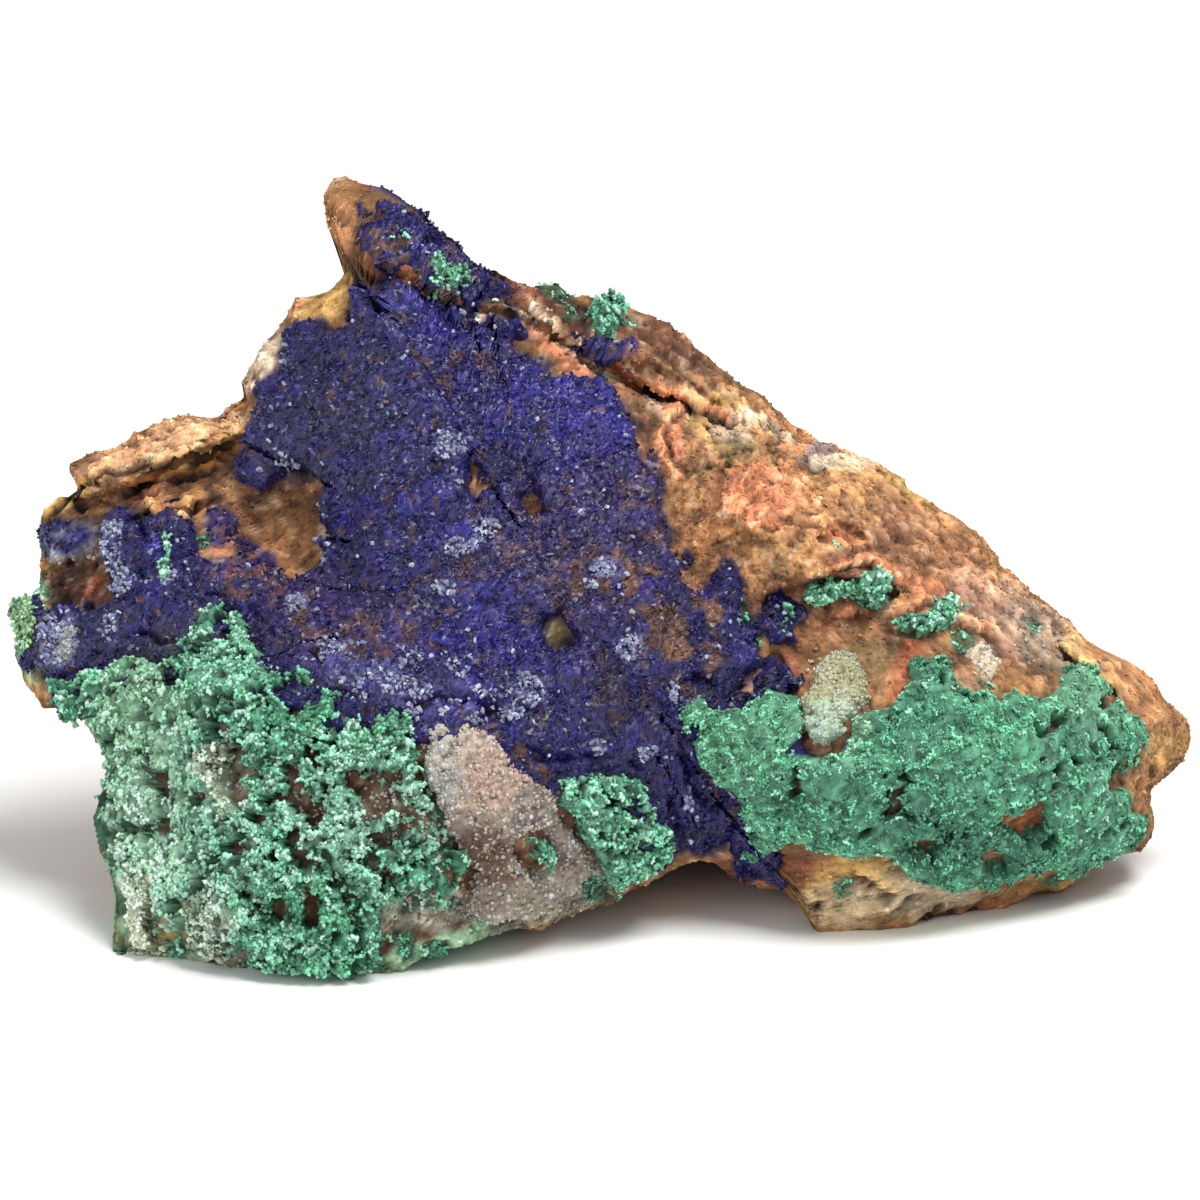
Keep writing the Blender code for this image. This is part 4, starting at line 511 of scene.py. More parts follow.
        (-7.9, 4.5), (-9.3, 4.9), (-8.9, 6.7), (-9.1, 8.5), (-9.9, 10.4), (-11, 12.4), (-11.7, 14.4),
    ], [
        [(-5.8, 10.1), (-4.9, 10.6), (-3.7, 10.4), (-3.2, 9.3), (-3.7, 8.3), (-4.9, 8.3), (-5.8, 9.1)],
    ]),
    "malachite_front_tuft": (0.75, [
        (-5.4, 9.9), (-4.8, 10.3), (-3.9, 10), (-3.5, 9.3), (-3.9, 8.7), (-4.8, 8.7), (-5.4, 9.3),
    ], []),
    "pale_left_druse": (0.5, [
        (-37, 24.2), (-35.8, 24.4), (-35.1, 24), (-35.1, 22.7), (-35.5, 21.9), (-36.8, 21.7), (-37.1, 22.8),
    ], []),
    "pale_right_druse": (0.6, [
        (14.1, 21.2), (15.1, 22.3), (16.3, 22.5), (17.4, 21.9), (17.7, 20.4), (17.5, 19.2), (16.3, 17.3),
        (15.1, 16.4), (14.1, 16.6), (13.5, 17.7), (13.5, 19.3),
    ], []),
    "pale_slope_crystal": (0.8, [
        (24.7, 22.5), (25.5, 22.8), (26.2, 22.3), (26.6, 21.2), (26.1, 20.6), (25.2, 21.3),
    ], []),
}

NEAREST_EDGE = 0.97  # share of the way to the edge past which no outline goes
FAR = 3.0  # distance beyond which it doesn't matter how far a spot is from a crust
HALVINGS = 24  # times the range of shares is halved to find a place's own


def inside(points, outline):
    """Whether each point lies within a closed outline, by counting the sides above it."""
    within = np.zeros(len(points), bool)
    for (x0, y0), (x1, y1) in zip(outline, np.roll(outline, -1, axis=0)):
        spans = (y0 > points[:, 1]) != (y1 > points[:, 1])
        crossing = x0 + (points[:, 1] - y0) * (x1 - x0) / (y1 - y0 if y1 != y0 else 1.0)
        within ^= spans & (points[:, 0] < crossing)
    return within


def distance_to(points, loop):
    """Distance from each point to the nearest side of a closed loop."""
    nearest = np.full(len(points), 1e9)
    for start, end in zip(loop, np.roll(loop, -1, axis=0)):
        side, away = end - start, points - start
        along = np.clip(away @ side / (side @ side), 0.0, 1.0)
        nearest = np.minimum(nearest, np.hypot(*(away - along[:, None] * side).T))
    return nearest


def onto_disc(places):
    """Places on the face to places on the flat front disc, where the rounded edge is spread out."""
    away = np.array(places, dtype=float) - np.array(HEART)
    bearing, distance = np.arctan2(away[:, 1], away[:, 0]), np.hypot(*away.T)
    low, high = np.zeros(len(places)), np.full(len(places), NEAREST_EDGE)
    for _ in range(HALVINGS):
        share = (low + high) / 2.0
        short = reach_across(bearing, share) < distance
        low, high = np.where(short, share, low), np.where(short, high, share)
    return polar(bearing, low * edge_reach(bearing))


def off_disc(spots):
    """Places on the flat disc to bearings and shares of the way to the edge."""
    away = spots - np.array(HEART)
    bearing = np.arctan2(away[:, 1], away[:, 0])
    return bearing, np.hypot(*away.T) / edge_reach(bearing)


def into_loop(spots, loop):
    """How far each spot lies inside a loop, negative outside it. Far from the loop it is only -FAR."""
    depth = np.full(len(spots), -FAR)
    near = np.all((spots > loop.min(axis=0) - FAR) & (spots < loop.max(axis=0) + FAR), axis=1)
    close = spots[near]
    depth[near] = distance_to(close, loop) * np.where(inside(close, loop), 1.0, -1.0)
    return depth


def cover_depth(spots, names):
    """How far each spot of the disc lies inside the named crusts, and their thickness there."""
    depth, thickness = np.full(len(spots), -FAR), np.zeros(len(spots))
    for name in names:
        full, outline, windows = CRUSTS[name]
        own = into_loop(spots, onto_disc(outline))
        for window in windows:
            own = np.minimum(own, -into_loop(spots, onto_disc(window)))
        thickness = np.where(own >= depth, full, thickness)
        depth = np.maximum(depth, own)
    return depth, thickness


def cells(points, seed):
    """Unit cells with one shaken point each: gap to the nearest point, its number and the way to it."""
    home = np.floor(points).astype(np.int64)
    first, number, way = np.full(len(points), 9.0), np.zeros(len(points)), np.zeros_like(points)
    for step in np.ndindex(3, 3, 3):
        cell = home + np.array(step) - 1
        toward = cell + np.column_stack([corner_value(cell, seed + axis) for axis in range(3)]) - points
        gap = np.sqrt((toward**2).sum(axis=1))
        nearer = gap < first
        first = np.where(nearer, gap, first)
        number = np.where(nearer, corner_value(cell, seed + 3), number)
        way[nearer] = toward[nearer]
    return first, number, way


def domes(points, size, seed):
    """Packed round grains size wide: each rises as half a ball, and each has its own height."""
    first, number, _ = cells(points / size, seed)
    return np.sqrt(np.maximum(1.0 - (first / 0.72) ** 2, 0.0)) * (0.55 + 0.75 * number) - 0.5


def chips(points, size, seed):
    """Broken faces size wide: each cell is a flat tilted its own way, with a step at its border."""
    _, number, way = cells(points / size, seed)
    turn = number * 43.0
    return (number - 0.5) + 0.9 * (way[:, 0] * np.cos(turn) + way[:, 2] * np.sin(turn))


def worms(points, size, seed):
    """Winding ridges: highest where smooth noise passes through nought, from 1 down to about -1."""
    return 1.0 - 2.6 * np.abs(grain(points / size, seed))


# ---------------- colour

PALETTE = {  # sRGB
    "limonite": (160, 119, 82), "tan": (188, 146, 104), "apricot": (212, 152, 108),
    "cream": (240, 218, 188), "straw": (204, 166, 98), "ochre": (170, 118, 60), "salmon": (218, 138, 100),
    "blush": (206, 166, 146), "russet": (136, 80, 60), "rust": (168, 92, 62), "umber": (86, 58, 46),
    "sepia": (54, 38, 32), "earth": (128, 90, 64), "olive": (116, 104, 72), "stone": (152, 142, 126),
    "slate": (92, 100, 126), "mist": (166, 176, 202), "bone": (204, 196, 180), "moss": (160, 176, 128),
    "film": (122, 164, 132), "indigo": (28, 24, 80), "royal": (36, 31, 116), "violet": (46, 32, 78),
    "dusk": (40, 40, 76), "lilac": (112, 112, 160), "frost": (196, 202, 218), "jade": (88, 150, 119),
    "fern": (56, 102, 84), "mint": (142, 198, 168), "sage": (136, 178, 146), "pale mint": (188, 226, 204),
    # gap is a painted shade: the near-black green laid into the malachite's low gaps.
    "gap": (40, 52, 46), "pink grey": (132, 121, 112), "cold grey": (148, 158, 158),
}
# Stains: (colour, across, up, half width, half height, turn in degrees, strength).
ROCK_STAINS = [
    # the peak and the ridge
    ("umber", -12.4, 51.4, 5.1, 2.3, -38, 0.95), ("sepia", -9, 48.5, 4.1, 1.1, -38, 0.7),
    ("slate", -9, 50.8, 4.1, 0.7, -40, 0.55), ("apricot", -18.2, 52, 1.1, 4.1, 2, 1.0),
    ("cream", -18.5, 53.1, 0.5, 2.7, 2, 0.3), ("umber", -15.8, 51.4, 1.1, 3.5, -14, 0.9),
    ("apricot", -18.5, 53.1, 0.7, 4.1, 2, 0.9), ("russet", -15.8, 54.1, 1.6, 0.9, -30, 0.85),
    ("umber", -2.9, 46.2, 4.1, 0.8, -28, 0.7), ("umber", -6.6, 47.4, 4.1, 1.1, -24, 0.9),
    ("cream", -17.9, 53.9, 0.5, 0.9, 0, 0.6), ("russet", -11.7, 47.4, 4.7, 0.7, -27, 0.7),
    ("russet", -5.3, 46.7, 3, 0.9, -20, 0.8), ("umber", -0.9, 44.7, 3.7, 1.5, -28, 0.85),
    ("russet", 3.9, 45.1, 3.7, 0.8, -42, 0.7), ("earth", 3.2, 43, 4.1, 1.6, -38, 0.9),
    ("umber", 4.4, 43.3, 3.4, 1.2, -40, 0.6), ("rust", 0.6, 42.2, 3.2, 0.5, -42, 0.9),
    ("tan", 5.9, 40.6, 2.7, 0.8, -40, 0.7), ("straw", -18.5, 46.4, 2.8, 1.5, 32, 0.7),
    ("salmon", -21.3, 46, 1.8, 0.5, 40, 0.7), ("cream", -9.3, 45.3, 1.1, 0.7, 0, 0.95),
    ("cream", -3.9, 44.3, 3.5, 0.5, -38, 0.9), ("blush", -1.9, 42.6, 2.7, 0.6, -36, 0.8),
    ("olive", -2.9, 41.5, 3.4, 0.9, -25, 0.45), ("salmon", -1.9, 42.4, 4.1, 1.1, -38, 0.8),
    ("earth", 3.2, 36.9, 2.4, 3.1, 0, 0.8), ("stone", 4.2, 39.1, 1.9, 0.9, -30, 0.5),
    # the left shoulder, its ledges and the hollow
    ("blush", -23.1, 42.3, 1.2, 2.6, -18, 0.95), ("cream", -22.9, 42.6, 1.2, 2.4, -25, 0.8),
    ("apricot", -28.6, 37.7, 5.1, 0.9, 20, 0.7), ("salmon", -33.7, 35.5, 2.3, 0.6, 22, 0.7),
    ("straw", -27.3, 36.9, 2.7, 0.7, 18, 0.7), ("cream", -29.6, 36.6, 5.4, 0.9, 20, 0.6),
    ("straw", -27.3, 36.9, 2.7, 0.9, 20, 0.5), ("apricot", -29.6, 36.5, 5.4, 1.1, 20, 0.6),
    ("cream", -30, 36.8, 5.7, 1.1, 20, 0.4), ("apricot", -30, 36.8, 5.7, 1.1, 20, 0.5),
    ("umber", -27.3, 34.7, 4.7, 0.9, 16, 0.75), ("earth", -33.4, 32.1, 3, 1.1, 14, 0.7),
    ("salmon", -30.7, 34, 1.8, 0.5, 22, 0.6), ("apricot", -28.3, 32.3, 2, 0.6, 15, 0.85),
    ("sepia", -26.3, 33, 0.8, 0.8, 0, 0.8), ("straw", -36.6, 32.8, 1.8, 0.5, 30, 0.9),
    ("sepia", -35.7, 31.3, 1.9, 0.4, 10, 0.8), ("ochre", -21.5, 30.8, 3, 3.2, 0, 0.6),
    ("umber", -21.9, 31.5, 3.7, 3.7, 0, 0.45), ("earth", -21.2, 32.8, 2.7, 1.8, 0, 0.6),
    ("russet", -23.1, 34.9, 1.5, 1.2, 0, 0.6), ("salmon", -24.6, 28.8, 2.3, 1.2, -20, 0.45),
    ("cream", -18.7, 29.8, 0.4, 1.5, 8, 0.8), ("slate", -36.9, 30.1, 2.3, 1.4, 0, 0.9),
    ("mist", -37.3, 29.8, 1.6, 0.8, 0, 0.6), ("cream", -35.9, 28.6, 1.4, 0.3, -10, 0.8),
    ("umber", -35.9, 26.6, 2.8, 2.3, 0, 0.95), ("sepia", -35.9, 26.9, 1.8, 1.4, 0, 0.7),
    ("rust", -34.4, 26.1, 0.7, 1.5, 0, 0.5), ("stone", -35.7, 24.6, 1.8, 0.4, -8, 0.8),
    # the slope on the right
    ("apricot", 16.7, 32.8, 10.2, 4.5, -34, 0.55), ("straw", 8.3, 37.9, 2.3, 1.9, -30, 0.75),
    ("salmon", 4.9, 36.9, 0.6, 2.6, 8, 0.8), ("bone", 8.8, 37.7, 1.5, 1.1, 0, 0.85),
    ("apricot", 8.5, 37.2, 2.7, 2.3, 0, 0.35), ("olive", 9.1, 36.2, 1.4, 0.8, 0, 0.6),
    ("salmon", 10.3, 32.8, 3, 2, 0, 0.75), ("slate", 14.7, 35.7, 1.2, 0.9, 0, 0.6),
    # The thin cream line along the top of the bulge at 16.4, 34.7 is a painted highlight.
    ("cream", 16.4, 35.4, 2.4, 0.5, 0, 0.85), ("straw", 17.4, 33.5, 3.2, 1.8, -10, 0.2),
    ("cream", 11.3, 37.9, 2.3, 0.4, -35, 0.6), ("straw", 20.4, 33.8, 2.2, 0.3, -38, 0.7),
    ("ochre", 7.9, 29.8, 3.1, 1.4, 0, 0.6), ("tan", 11.3, 29.3, 2, 0.6, -12, 0.7),
    ("salmon", 16.4, 30.5, 1.1, 0.7, -20, 0.9), ("salmon", 17.4, 28.1, 2, 0.5, 12, 0.8),
    ("umber", 16.6, 29, 1.8, 0.6, 10, 0.7), ("earth", 22.1, 28.6, 5.7, 2.3, -38, 0.95),
    ("apricot", 23.5, 28.8, 5.4, 0.9, -38, 0.3), ("salmon", 22.5, 26.7, 3.4, 0.6, -18, 0.6),
    ("russet", 25.2, 25, 1.6, 0.6, -10, 0.6), ("blush", 27.5, 24.7, 4.1, 2.3, -35, 0.6),
    ("stone", 30.3, 23.4, 3, 1.8, -38, 0.55), ("umber", 28.9, 21.5, 2.3, 0.7, -30, 0.4),
    ("straw", 33.6, 22.3, 2.3, 0.3, -42, 0.9), ("apricot", 35.7, 20, 4.1, 2.3, -42, 0.7),
    ("straw", 38.5, 16.2, 1.5, 1.4, 0, 0.6), ("tan", 35, 14.9, 1.8, 2, 0, 0.5),
    ("earth", 33.6, 19.3, 1.5, 2, 0, 0.5),
    # the brown hollow and the windows in the malachite
    ("earth", 15.4, 24.7, 5.4, 2.7, -10, 0.8), ("russet", 14.7, 26.1, 4.1, 1.6, 0, 0.45),
    ("earth", 6.6, 28.1, 3, 4.7, 0, 0.65), ("rust", 20.4, 20.6, 1.1, 2.7, -12, 0.7),
    ("russet", 13, 19.3, 0.7, 4.1, 8, 0.8), ("olive", 18.1, 22.3, 1.5, 1.4, 0, 0.5),
    ("blush", 23.5, 19.3, 1.8, 2, 0, 0.6), ("rust", 28.2, 11.5, 1.8, 0.9, 8, 0.8),
    ("apricot", 27.4, 11, 0.8, 0.4, 10, 0.6), ("russet", 21.8, 9.5, 2, 0.8, 0, 0.7),
    ("earth", 26.9, 8.8, 2.7, 0.9, 0, 0.6),
    # the foot
    ("straw", 18.1, 6.8, 4.1, 2.3, 0, 0.6), ("bone", 20.1, 6.4, 7.4, 1.6, 10, 0.4),
    ("stone", 23.5, 6.4, 4.7, 1.1, 12, 0.4), ("cream", 20.8, 6.1, 5.4, 1.5, 10, 0.35),
    ("salmon", 25.9, 4.7, 3.4, 0.8, 14, 0.5), ("russet", 11.3, 7.9, 3, 1.1, 0, 0.8),
    ("tan", 8.9, 9.9, 1.1, 0.7, 30, 0.8), ("umber", 13.3, 9.1, 2, 0.5, -8, 0.5),
    # the brown matrix under the lower crusts
    ("umber", -15.1, 10.5, 8.8, 7.4, 0, 0.9), ("umber", -0.9, 10.5, 4.1, 5.4, 0, 0.9),
    ("olive", -12, 5.2, 4.1, 1.2, 5, 0.7), ("stone", -12, 5.2, 4.1, 1.2, 5, 0.85),
    ("bone", -12, 5.8, 3.8, 0.9, 5, 0.35), ("rust", -19.7, 7.1, 0.8, 0.9, -40, 0.8),
    ("stone", -25.8, 3.7, 1.8, 3, 0, 0.9), ("stone", -4.3, 6.4, 4.1, 1.4, 22, 0.9),
    ("cold grey", -3.7, 6.1, 3.8, 1.4, 22, 0.7), ("stone", -24.6, 13.9, 1.4, 2.3, 12, 0.9),
    ("earth", -7, 16.2, 3.4, 0.9, -35, 0.6), ("earth", -4.3, 32, 1.1, 1.4, 0, 0.9),
    ("olive", -3.2, 23.9, 1.5, 1.9, 0, 0.9), ("moss", -30.7, 3.7, 1.4, 3.4, 4, 0.8),
    ("film", -31.3, 12.5, 3.4, 8.1, 0, 0.6), ("film", -38.8, 24, 1.8, 3.4, 0, 0.9),
]
RIM_STAINS = [  # where the lower left crust wraps round the edge of the face
    ("sage", -33.4, 15.2, 2, 6.1, 6, 0.95), ("fern", -34.3, 12.5, 0.7, 4.1, 4, 0.5),
    ("moss", -30.7, 4.7, 3, 4.1, 4, 0.95), ("bone", -30.5, 4.4, 1.6, 3.4, 0, 0.5),
    ("sage", -29.3, 2, 3.4, 1.1, 6, 0.8), ("stone", -25.2, 1.4, 2, 1.4, 0, 0.9),
    ("fern", -20.5, 0.9, 4.7, 1.1, 0, 0.8), ("sage", -11.7, 2.5, 6.1, 0.9, 18, 0.9),
    ("stone", -2.9, 5.4, 4.1, 0.8, 18, 0.8), ("slate", -13.7, 53.1, 3.1, 0.6, -42, 0.9),
    ("dusk", -10, 50.1, 2.7, 0.6, -38, 0.8), ("bone", -12, 5.2, 3.4, 1.4, 8, 0.6),
    ("sage", -32.4, 7.1, 1.1, 4.1, 0, 0.9), ("straw", -29.4, 3.4, 0.7, 2, 0, 0.6),
    ("sage", -39.1, 24, 1.2, 3.4, 0, 0.9), ("slate", -37.3, 30.1, 2, 1.2, 0, 0.7),
]
AZURITE_STAINS = [
    ("film", -28, 22.7, 4.7, 0.9, 0, 0.35), ("royal", -2.9, 38.2, 4.7, 3.4, -20, 0.6),
    ("royal", -12.4, 44.3, 2.7, 2, 0, 0.4), ("royal", -9, 23.4, 5.4, 2.7, -20, 0.55),
    ("dusk", -18.5, 38.2, 5.4, 4.7, 0, 0.6), ("dusk", -32, 23.4, 6.1, 3.1, 0, 0.6),
    ("violet", -17.1, 24.7, 6.1, 3.4, 0, 0.55), ("violet", -0.2, 28.8, 6.1, 6.1, 0, 0.5),
    ("lilac", -32.4, 19.3, 2.3, 1.5, -20, 0.75), ("lilac", -13.7, 20, 4.7, 1.4, -12, 0.5),
    ("slate", -36.8, 22.3, 1.8, 1.5, 0, 0.6),
]
AZURITE_MOTTLES = [
    ("umber", 2.5, 30.1, 2, 4.7, 0, 0.55), ("umber", -13.7, 48.9, 6.1, 1, -38, 0.95),
    ("umber", -15.5, 50.7, 0.9, 1.8, -14, 0.9), ("umber", -6.4, 16.3, 3.7, 0.6, -32, 0.95),
    ("umber", -2.1, 11.7, 3, 0.6, -50, 0.8), ("sepia", -17.8, 49.4, 2.3, 1.4, -30, 0.7),
    ("slate", -11, 51.4, 4.1, 0.7, -40, 0.7), ("umber", -6.6, 46.4, 2.7, 1.1, -30, 0.5),
    ("umber", -0.9, 26.1, 2.3, 2, 0, 0.4), ("umber", -20.5, 25.4, 2.3, 1.4, 0, 0.5),
    ("umber", 1.5, 20, 2.3, 1.8, 0, 0.35), ("rust", -9, 41.5, 1.5, 0.9, -30, 0.35),
    ("umber", -8.3, 32.8, 1.1, 1.8, 0, 0.45), ("russet", -24.6, 26.7, 3.4, 1.5, -10, 0.6),
    ("umber", 4.4, 26.1, 2.7, 4.1, 0, 0.9), ("earth", 5.9, 22.7, 2, 2.7, 0, 0.8),
    ("russet", -23.1, 31.5, 2, 2.7, 0, 0.8), ("umber", -17.1, 23.4, 4.1, 1.4, 0, 0.6),
    ("earth", -4.3, 28.8, 5.4, 2.7, 0, 0.4),
]
MALACHITE_STAINS = [
    ("mint", -11.7, 50.4, 8.1, 4.1, -30, 0.35), ("mint", -1.2, 46.4, 6.1, 3.4, -30, 0.25),
    ("mint", 19.4, 26.1, 8.1, 3, -20, 0.3), ("mint", -29.3, 29.3, 1.4, 2.3, 0, 0.7),
    ("bone", -30.5, 4.1, 1.6, 3.4, 0, 0.6), ("pale mint", -31.3, 8.5, 1.8, 5.4, 0, 0.4),
    ("sage", -30.7, 15.2, 3.1, 8.1, 4, 0.85), ("moss", -30.7, 4.1, 1.6, 3.8, 6, 0.8),
    ("moss", -38.8, 23.4, 1.4, 2.7, 0, 0.6), ("mint", -24.6, 21.3, 2.7, 2.7, 0, 0.4),
    ("sage", -29.3, 12.5, 4.1, 8.1, 0, 0.5), ("stone", -24.6, 14.2, 1.5, 2.3, 14, 0.85),
    ("stone", -25.8, 3.7, 1.9, 3.1, 0, 0.75), ("pale mint", -12, 12.5, 2, 2, 0, 0.5),
    ("pale mint", -17.1, 10.5, 2.7, 2, 0, 0.35), ("fern", -18.5, 10.5, 4.1, 4.1, 0, 0.15),
    ("pale mint", -17.1, 12.5, 4.7, 4.7, 0, 0.25), ("mint", 0.5, 11.2, 3.4, 3.4, 0, 0.35),
    ("fern", 22.8, 11.2, 7.4, 2.7, -16, 0.35), ("fern", 19.4, 19.3, 3.4, 2.7, -20, 0.3),
    ("sage", 8.9, 16.6, 3.4, 3.4, 0, 0.15), ("sage", 32.3, 19.3, 2.7, 2, 0, 0.35),
    ("fern", 20.4, 9.5, 2.7, 0.6, -40, 0.6), ("film", 15.4, 17.3, 2.7, 1.8, 20, 0.7),
    ("indigo", 14.1, 16.1, 1.9, 0.5, 5, 1.0), ("pale mint", -28, 9.1, 6.1, 7.4, 0, 0.3),
    ("bone", -30.7, 3.7, 2, 3.1, 0, 0.5), ("bone", -12, 5.2, 3.1, 1.1, 8, 0.5),
]
DRUSE_STAINS = [
    ("blush", -8.3, 15.2, 3.4, 3.4, 0, 0.6), ("cold grey", -11, 15.2, 1.5, 3.4, 0, 0.7),
    ("umber", -9, 9.1, 2.7, 2.3, 0, 0.8), ("stone", -4.3, 6.1, 3.4, 1.6, 20, 0.8),
    ("bone", -10.4, 16.6, 2, 1.8, 0, 0.5), ("cold grey", -36.6, 23.2, 2, 2, 0, 0.95),
    ("straw", 15.5, 20, 1.8, 1.8, 0, 0.45), ("moss", 15.7, 19.3, 2.3, 3, 0, 0.6),
    ("pale mint", 15.1, 17.6, 2, 1.4, 0, 0.7), ("cream", 25.7, 21.9, 1.4, 1.4, 0, 0.9),
]


def ellipse_reach(places, patch):
    """How far each place lies from the middle of a turned ellipse: 1 at its edge."""
    across, up, half_wide, half_high, turn = patch
    cos, sin = math.cos(math.radians(turn)), math.sin(math.radians(turn))
    x, y = places[:, 0] - across, places[:, 1] - up
    return np.hypot((x * cos + y * sin) / half_wide, (y * cos - x * sin) / half_high)


def zone(places, patches):
    """1 in any of the zones, fading to 0 outside."""
    return np.max([smooth(1.5 - ellipse_reach(places, patch), 0.0, 0.6) for patch in patches], axis=0)


def stained(colour, points, places, stains, seed, mottled=False):
    """Lays each stain over the colour: an ellipse with a broken edge, or with mottled spots all over it."""
    broken = 0.34 * layered_grain(points, 1.5, 3, seed)
    spots = smooth(layered_grain(points, 0.9, 3, seed + 5), 0.0, 0.35) if mottled else 1.0
    for name, *patch, strength in stains:
        share = strength * smooth(1.3 - ellipse_reach(places, patch) + broken, 0.0, 0.55) * spots
        colour = blend(colour, name, share)
    return colour


def blend(base, name, share):
    """A share from 0 to 1 of a colour of the palette laid over the base."""
    return base + (np.array(PALETTE[name], dtype=float) - base) * np.asarray(share)[:, None]


def patchy(base, name, strength, points, waves, limits):
    """Lays a colour over the base where noise, waves being its size, layers and seed, passes the limits."""
    return blend(base, name, strength * smooth(layered_grain(points, *waves), *limits))


def plain(name, points):
    """One colour of the palette at every point."""
    return np.tile(np.array(PALETTE[name], dtype=float), (len(points), 1))


def shaded(colour, relief, gain):
    """Paints light and shade into the colour: lightens what stands up and darkens what lies deep."""
    return colour * np.clip(1.0 + gain * relief, 0.25, 1.6)[:, None]


def linear(colour):
    """sRGB from 0 to 255 to linear light with full alpha."""
    part = np.clip(colour / 255.0, 0.0, 1.0)
    light = np.where(part < 0.0404, part / 12.92, ((part + 0.055) / 1.055) ** 2.4)
    return np.column_stack([light, np.ones(len(light))]).astype(np.float32)


# ---------------- meshes


def point_normals(points, faces):
    """Unit normals at the points, from the triangles around them."""
    corners = points[faces]
    across = np.cross(corners[:, 1] - corners[:, 0], corners[:, 2] - corners[:, 0])
    normals = np.zeros_like(points)
    for corner in range(3):
        for axis in range(3):
            normals[:, axis] += np.bincount(faces[:, corner], across[:, axis], len(points))
    return normals / np.maximum(np.linalg.norm(normals, axis=1), 1e-12)[:, None]


def longest_sides(points, faces):
    """The length of each triangle's longest side."""
    corners = points[faces]
    return np.linalg.norm(corners - np.roll(corners, 1, axis=1), axis=2).max(axis=1)


def evenness(points, faces, usual):
    """1 where the sides of the faces are up to the usual length, and less the longer they are drawn out."""
    reach = np.zeros(len(points))
    np.maximum.at(reach, faces.ravel(), np.repeat(longest_sides(points, faces), 3))
    return np.minimum((usual / reach) ** 2, 1.0)


def make_piece(name, points, faces, colour, material, rounded=True):
    """A mesh object riding on the specimen, with its points' colours in the attribute tint."""
    points = np.column_stack([points[:, :2], np.maximum(points[:, 2], 0.0)])
    mesh = bpy.data.meshes.new(name)
    mesh.vertices.add(len(points))
    mesh.vertices.foreach_set("co", (points * MM).astype(np.float32).ravel())
    mesh.loops.add(faces.size)
    mesh.loops.foreach_set("vertex_index", faces.astype(np.int32).ravel())
    mesh.polygons.add(len(faces))
    mesh.polygons.foreach_set("loop_start", np.arange(0, faces.size, 3, dtype=np.int32))
    mesh.update(calc_edges=True)
    mesh.validate()
    tint = mesh.color_attributes.new("tint", "FLOAT_COLOR", "POINT")
    tint.data.foreach_set("color", linear(colour).ravel())
    if rounded:
        mesh.shade_smooth()
    else:
        mesh.shade_flat()
    mesh.materials.append(material)
    piece = bpy.data.objects.new(name, mesh)
    bpy.context.scene.collection.objects.link(piece)
    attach(piece, "root")
    return piece


# ---------------- small shapes, one mesh of many copies

BLOCK = np.array([(x, y, z) for z in (-1, 1) for y in (-1, 1) for x in (-1, 1)], dtype=float)
BLOCK_FACES = np.array([
    (0, 2, 3), (0, 3, 1), (4, 5, 7), (4, 7, 6), (0, 1, 5), (0, 5, 4),
    (2, 6, 7), (2, 7, 3), (0, 4, 6), (0, 6, 2), (1, 3, 7), (1, 7, 5),
])
CHIP = np.array([(1, 0, 0), (0, 1, 0), (-1, 0, 0), (0, -1, 0), (0, 0, 1), (0, 0, -1)], dtype=float)
CHIP_FACES = np.array([
    (0, 1, 4), (1, 2, 4), (2, 3, 4), (3, 0, 4), (1, 0, 5), (2, 1, 5), (3, 2, 5), (0, 3, 5),
])


def turned_frames(normals, lean, rng):
    """Three square directions for each normal: the first leans off the normal by up to lean."""
    loose = rng.normal(size=normals.shape)
    axis = normals + lean * loose / np.linalg.norm(loose, axis=1)[:, None]
    axis = axis / np.linalg.norm(axis, axis=1)[:, None]
    side = np.cross(axis, rng.normal(size=normals.shape))
    side = side / np.linalg.norm(side, axis=1)[:, None]
    return axis, side, np.cross(axis, side)


def copies(corners, faces, centres, normals, lean, rng):
    """Points and faces of one small shape for each centre, turned at random about a leaning normal."""
    axis, side, across = turned_frames(normals, lean, rng)
    wide, deep, long = (corners[:, :, number : number + 1] for number in range(3))
    placed = centres[:, None] + wide * side[:, None] + deep * across[:, None] + long * axis[:, None]
    every = faces[None] + np.arange(len(centres))[:, None, None] * corners.shape[1]
    return placed.reshape(-1, 3), every.reshape(-1, 3)


def blades(centres, normals, sizes, lean, rng):
    """Blade crystals: blocks as wide, thick and long as sizes says, narrowed to a chisel end pointing out."""
    corners = np.tile(BLOCK, (len(centres), 1, 1)) / 2.0
    taper = np.where(corners[:, :, 2:] > 0.0, rng.uniform(0.35, 0.9, (len(centres), 1, 2)), 1.0)
    corners[:, :, :2] *= taper
    return copies(corners * sizes[:, None], BLOCK_FACES, centres, normals, lean, rng)


def dented(shape, faces, centres, normals, sizes, rng):
    """Grains or angular chips: a small shape dented at random, with half sizes along its three axes."""
    corners = shape[None] * rng.uniform(0.7, 1.2, (len(centres), len(shape), 1)) * sizes[:, None]
    return copies(corners, faces, centres, normals, 0.7, rng)


def curls(seats, normals, radius, beads, rng):
    """Centres and normals of short curved chains of grains that wander over the crust from each seat."""
    _, side, across = turned_frames(normals, 0.0, rng)
    start = rng.uniform(0.0, 2.0 * math.pi, len(seats))
    bend = rng.uniform(0.35, 1.1, len(seats)) * rng.choice([-1.0, 1.0], len(seats))
    away, rise = np.zeros((len(seats), 2)), np.zeros(len(seats))
    centres = []
    for bead in range(beads):
        centres.append(seats + normals * rise[:, None] + side * away[:, :1] + across * away[:, 1:])
        heading = start + bead * bend
        away = away + np.column_stack([np.cos(heading), np.sin(heading)]) * 1.15 * radius[:, None]
        rise = rise + rng.uniform(-0.25, 0.35, len(seats)) * radius
    return np.concatenate(centres), np.tile(normals, (beads, 1))


